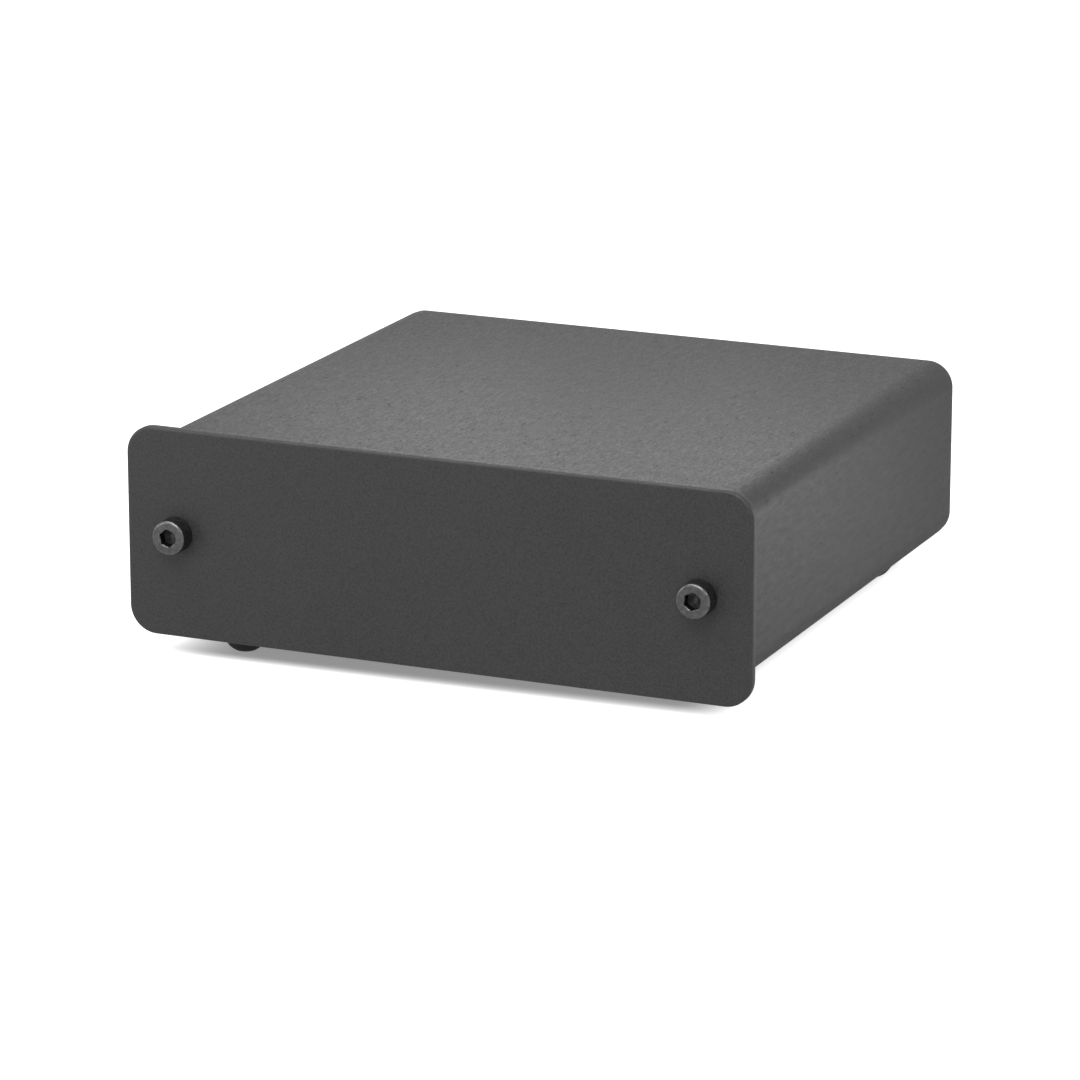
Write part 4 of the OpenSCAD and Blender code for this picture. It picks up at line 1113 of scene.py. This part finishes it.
# %% Inlet pin
def inlet_pin(start, end, radius):
    """A rod with a chamfered root, and a round of 0.8 of its radius at its tip."""
    chamfer, tip = 0.2 * MM, 0.8 * radius
    profile = rows(
        (radius - chamfer, start), (radius, start + chamfer), (radius, end - tip),
        arc((0.2 * radius, end - tip), tip, 0, 90, steps=8, wear_and_shade=0.6),
    )
    return turned(profile, inlet_spot, around=48, poles=True)


low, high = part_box("power_inlet_pin")
add_piece("inlet_pin", inlet_pin(low.y, high.y, (high.z - low.z) / 2), "power_inlet_pin")

# %% [markdown]
# ## Pieces that keep their CAD form
# Everything else lies inside the closed case: bars, board, spacers, contacts and electronic
# parts. Their CAD form is right, so each only gets the finish of its material slot.

# %% Finishes for the CAD pieces
kept = [name for name, piece in nodes.items() if not piece.hide_render]
for name in kept:
    give_finish(nodes[name].data, finish_of[slot_of[name]])
print(len(kept), "CAD pieces keep their form")

# %% [markdown]
# ## Floor
# The object stands on a plain white floor. Lamps light the floor to just below white, and a
# glow, which only the camera and mirror-like reflections see, lifts it to white, so that the
# lamps need not be stronger. Reflections see a lesser, even glow, so they darken towards the
# sleeve's lower edge.

# %% Floor
FLOOR_SIZE, FLOOR_COLOUR = 6.0, 0.82
half = FLOOR_SIZE / 2
floor_corners = [(-half, -half, 0), (half, -half, 0), (half, half, 0), (-half, half, 0)]
floor_mesh = bpy.data.meshes.new("floor")
floor_mesh.from_pydata(floor_corners, [], [(0, 1, 2, 3)])
floor = put_in_scene("floor", floor_mesh)
print("floor:", FLOOR_SIZE, "m wide")

# %% [markdown]
# Under the case and its front plate the glow is weak, so that the shadow stays, and ramps bring
# it back to full: a slow one at the left, where the photo's shadow thins out, and short ones on
# the other sides. The plate's patch reaches a little further right.

# %% Paper for the floor
CAMERA_GLOW = (1.0, 0.27)
MIRRORED_GLOW = 0.22
SHADE_LEAN = 0.05


def ray_kinds(tree):
    """Two sockets: 1 for camera rays, and 1 for glossy and transmission rays, else 0."""
    path = tree.nodes.new("ShaderNodeLightPath").outputs
    mirrored = reckon(tree, "MAXIMUM", path["Is Glossy Ray"], path["Is Transmission Ray"])
    return path["Is Camera Ray"], mirrored


def shade_between(tree, ramps):
    """Shade from 1 to 0: the product of 1 - t * t over the ramps.

    Each t is 0 where its ramp starts and 1 where it ends. A ramp runs along x, or along y less
    a lean that grows with x.
    """
    place = split(tree, place_on(tree))
    leaned = reckon(tree, "MULTIPLY_ADD", place["X"], -SHADE_LEAN, place["Y"])
    along = {"x": place["X"], "y": leaned}
    shade = None
    for axis, start, end in ramps:
        t = between(tree, along[axis], start, end)
        left = reckon(tree, "MULTIPLY_ADD", t, reckon(tree, "MULTIPLY", t, -1.0), 1.0)
        shade = left if shade is None else reckon(tree, "MULTIPLY", shade, left)
    return shade


paper = bpy.data.materials.new("white_paper")
paper.use_nodes = True
tree = paper.node_tree
tree.nodes.clear()
# These patches paint the shadow: the lamps' shade shows only where the camera's glow is weak, so
# these ramps, not the lamps, set its outline and fade.
left_ramp = ("x", sleeve_low.x + 13.5 * MM, sleeve_low.x + 1.5 * MM)
front_ramp = ("y", sleeve_low.y + 5.2 * MM, sleeve_low.y + 0.5 * MM)
under_plate = shade_between(tree, (
    left_ramp, ("x", sleeve_high.x - 13.0 * MM, sleeve_high.x - 4.0 * MM),
    front_ramp, ("y", sleeve_low.y + 7.0 * MM, sleeve_low.y + 10.0 * MM),
))
under_case = shade_between(tree, (
    left_ramp, ("x", sleeve_high.x - 16.0 * MM, sleeve_high.x - 7.0 * MM),
    front_ramp, ("y", sleeve_high.y - 4.0 * MM, sleeve_high.y),
))
shade = reckon(tree, "MAXIMUM", under_plate, under_case)
camera_ray, mirrored_ray = ray_kinds(tree)
seen_glow = reckon(tree, "MULTIPLY", camera_ray, between(tree, shade, 0.0, 1.0, *CAMERA_GLOW))
strength = reckon(tree, "MULTIPLY_ADD", mirrored_ray, MIRRORED_GLOW, seen_glow)

diffuse = tree.nodes.new("ShaderNodeBsdfDiffuse")
diffuse.inputs["Color"].default_value = (FLOOR_COLOUR, FLOOR_COLOUR, FLOOR_COLOUR, 1.0)
glow = tree.nodes.new("ShaderNodeEmission")
both = tree.nodes.new("ShaderNodeAddShader")
surface = tree.nodes.new("ShaderNodeOutputMaterial")
tree.links.new(strength, glow.inputs["Strength"])
tree.links.new(diffuse.outputs["BSDF"], both.inputs[0])
tree.links.new(glow.outputs["Emission"], both.inputs[1])
tree.links.new(both.outputs["Shader"], surface.inputs["Surface"])
give_finish(floor_mesh, paper)
floor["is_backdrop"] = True
print("paper:", len(tree.nodes), "nodes, glow from", CAMERA_GLOW[1], "to", CAMERA_GLOW[0])

# %% [markdown]
# ## Light
# The world is white in the same way as the floor: the camera and reflections see it white, and
# it lights the object only weakly.

# %% World
WORLD_LIGHT = 0.25
world = bpy.data.worlds.new("white_studio")
bpy.context.scene.world = world
world.use_nodes = True
tree = world.node_tree
sky = tree.nodes["Background"]
sky.inputs["Color"].default_value = (1.0, 1.0, 1.0, 1.0)
seen_ray = reckon(tree, "MAXIMUM", *ray_kinds(tree))
tree.links.new(between(tree, seen_ray, 0.0, 1.0, WORLD_LIGHT, 1.0), sky.inputs["Strength"])
print("world light:", WORLD_LIGHT)

# %% [markdown]
# Soft boxes make the light: a broad one in front and a weaker one overhead on the left. Small
# cards and two small bright spots are seen by the sheen alone. The two cards above the sleeve
# make its top lighter towards the front, because the front mirrors them more nearly. A card
# beside the sleeve does the same for its side, and one at the front left for the front plate's
# left end. The spots put two highlights on each screw's rim, at the top and the upper right.

# %% Lamps
AIM = Vector((0.0, 0.0, 0.015))


def soft_box(name, place, size, power, sheen_only=False):
    """A square area lamp that looks at the object. One for the sheen alone lights nothing else."""
    lamp = bpy.data.lights.new(name, "AREA")
    lamp.shape = "SQUARE"
    lamp.size = size
    lamp.energy = power
    box = put_in_scene(name, lamp)
    box.location = place
    box.rotation_euler = (AIM - Vector(place)).to_track_quat("-Z", "Y").to_euler()
    box.visible_diffuse = not sheen_only
    print(f"{name}: {power} W, {size} m wide")


soft_box("front_box", (0.10, -0.60, 0.75), size=0.60, power=5.6)
soft_box("left_overhead_box", (-0.32, -0.30, 0.78), size=0.30, power=1.1)
for name, place, size, power in (
    ("left_overhead_spot", (-0.32, -0.30, 0.78), 0.14, 0.6),
    ("right_spot", (0.75, -0.25, 0.50), 0.12, 0.5),
    ("rear_left_card", (-0.036, 0.023, 0.082), 0.06, 0.0154),
    ("rear_right_card", (0.013, 0.024, 0.082), 0.06, 0.0173),
    ("right_card", (0.12, 0.044, 0.012), 0.05, 0.0425),
    ("left_card", (-0.20, -0.22, 0.06), 0.08, 0.10),
):
    soft_box(name, place, size, power, sheen_only=True)

bpy.context.scene.view_settings.view_transform = "Standard"

# %% [markdown]
# ## Sizes and the end
# The script prints how far the visual model reaches past the CAD model's box on each side.

# %% Write the sizes and finish
seen_low, seen_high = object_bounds()
outer, inner = (*cad_low, *seen_high), (*seen_low, *cad_high)
print("grown by, in mm:", [round((a - b) / MM, 3) for a, b in zip(outer, inner)])
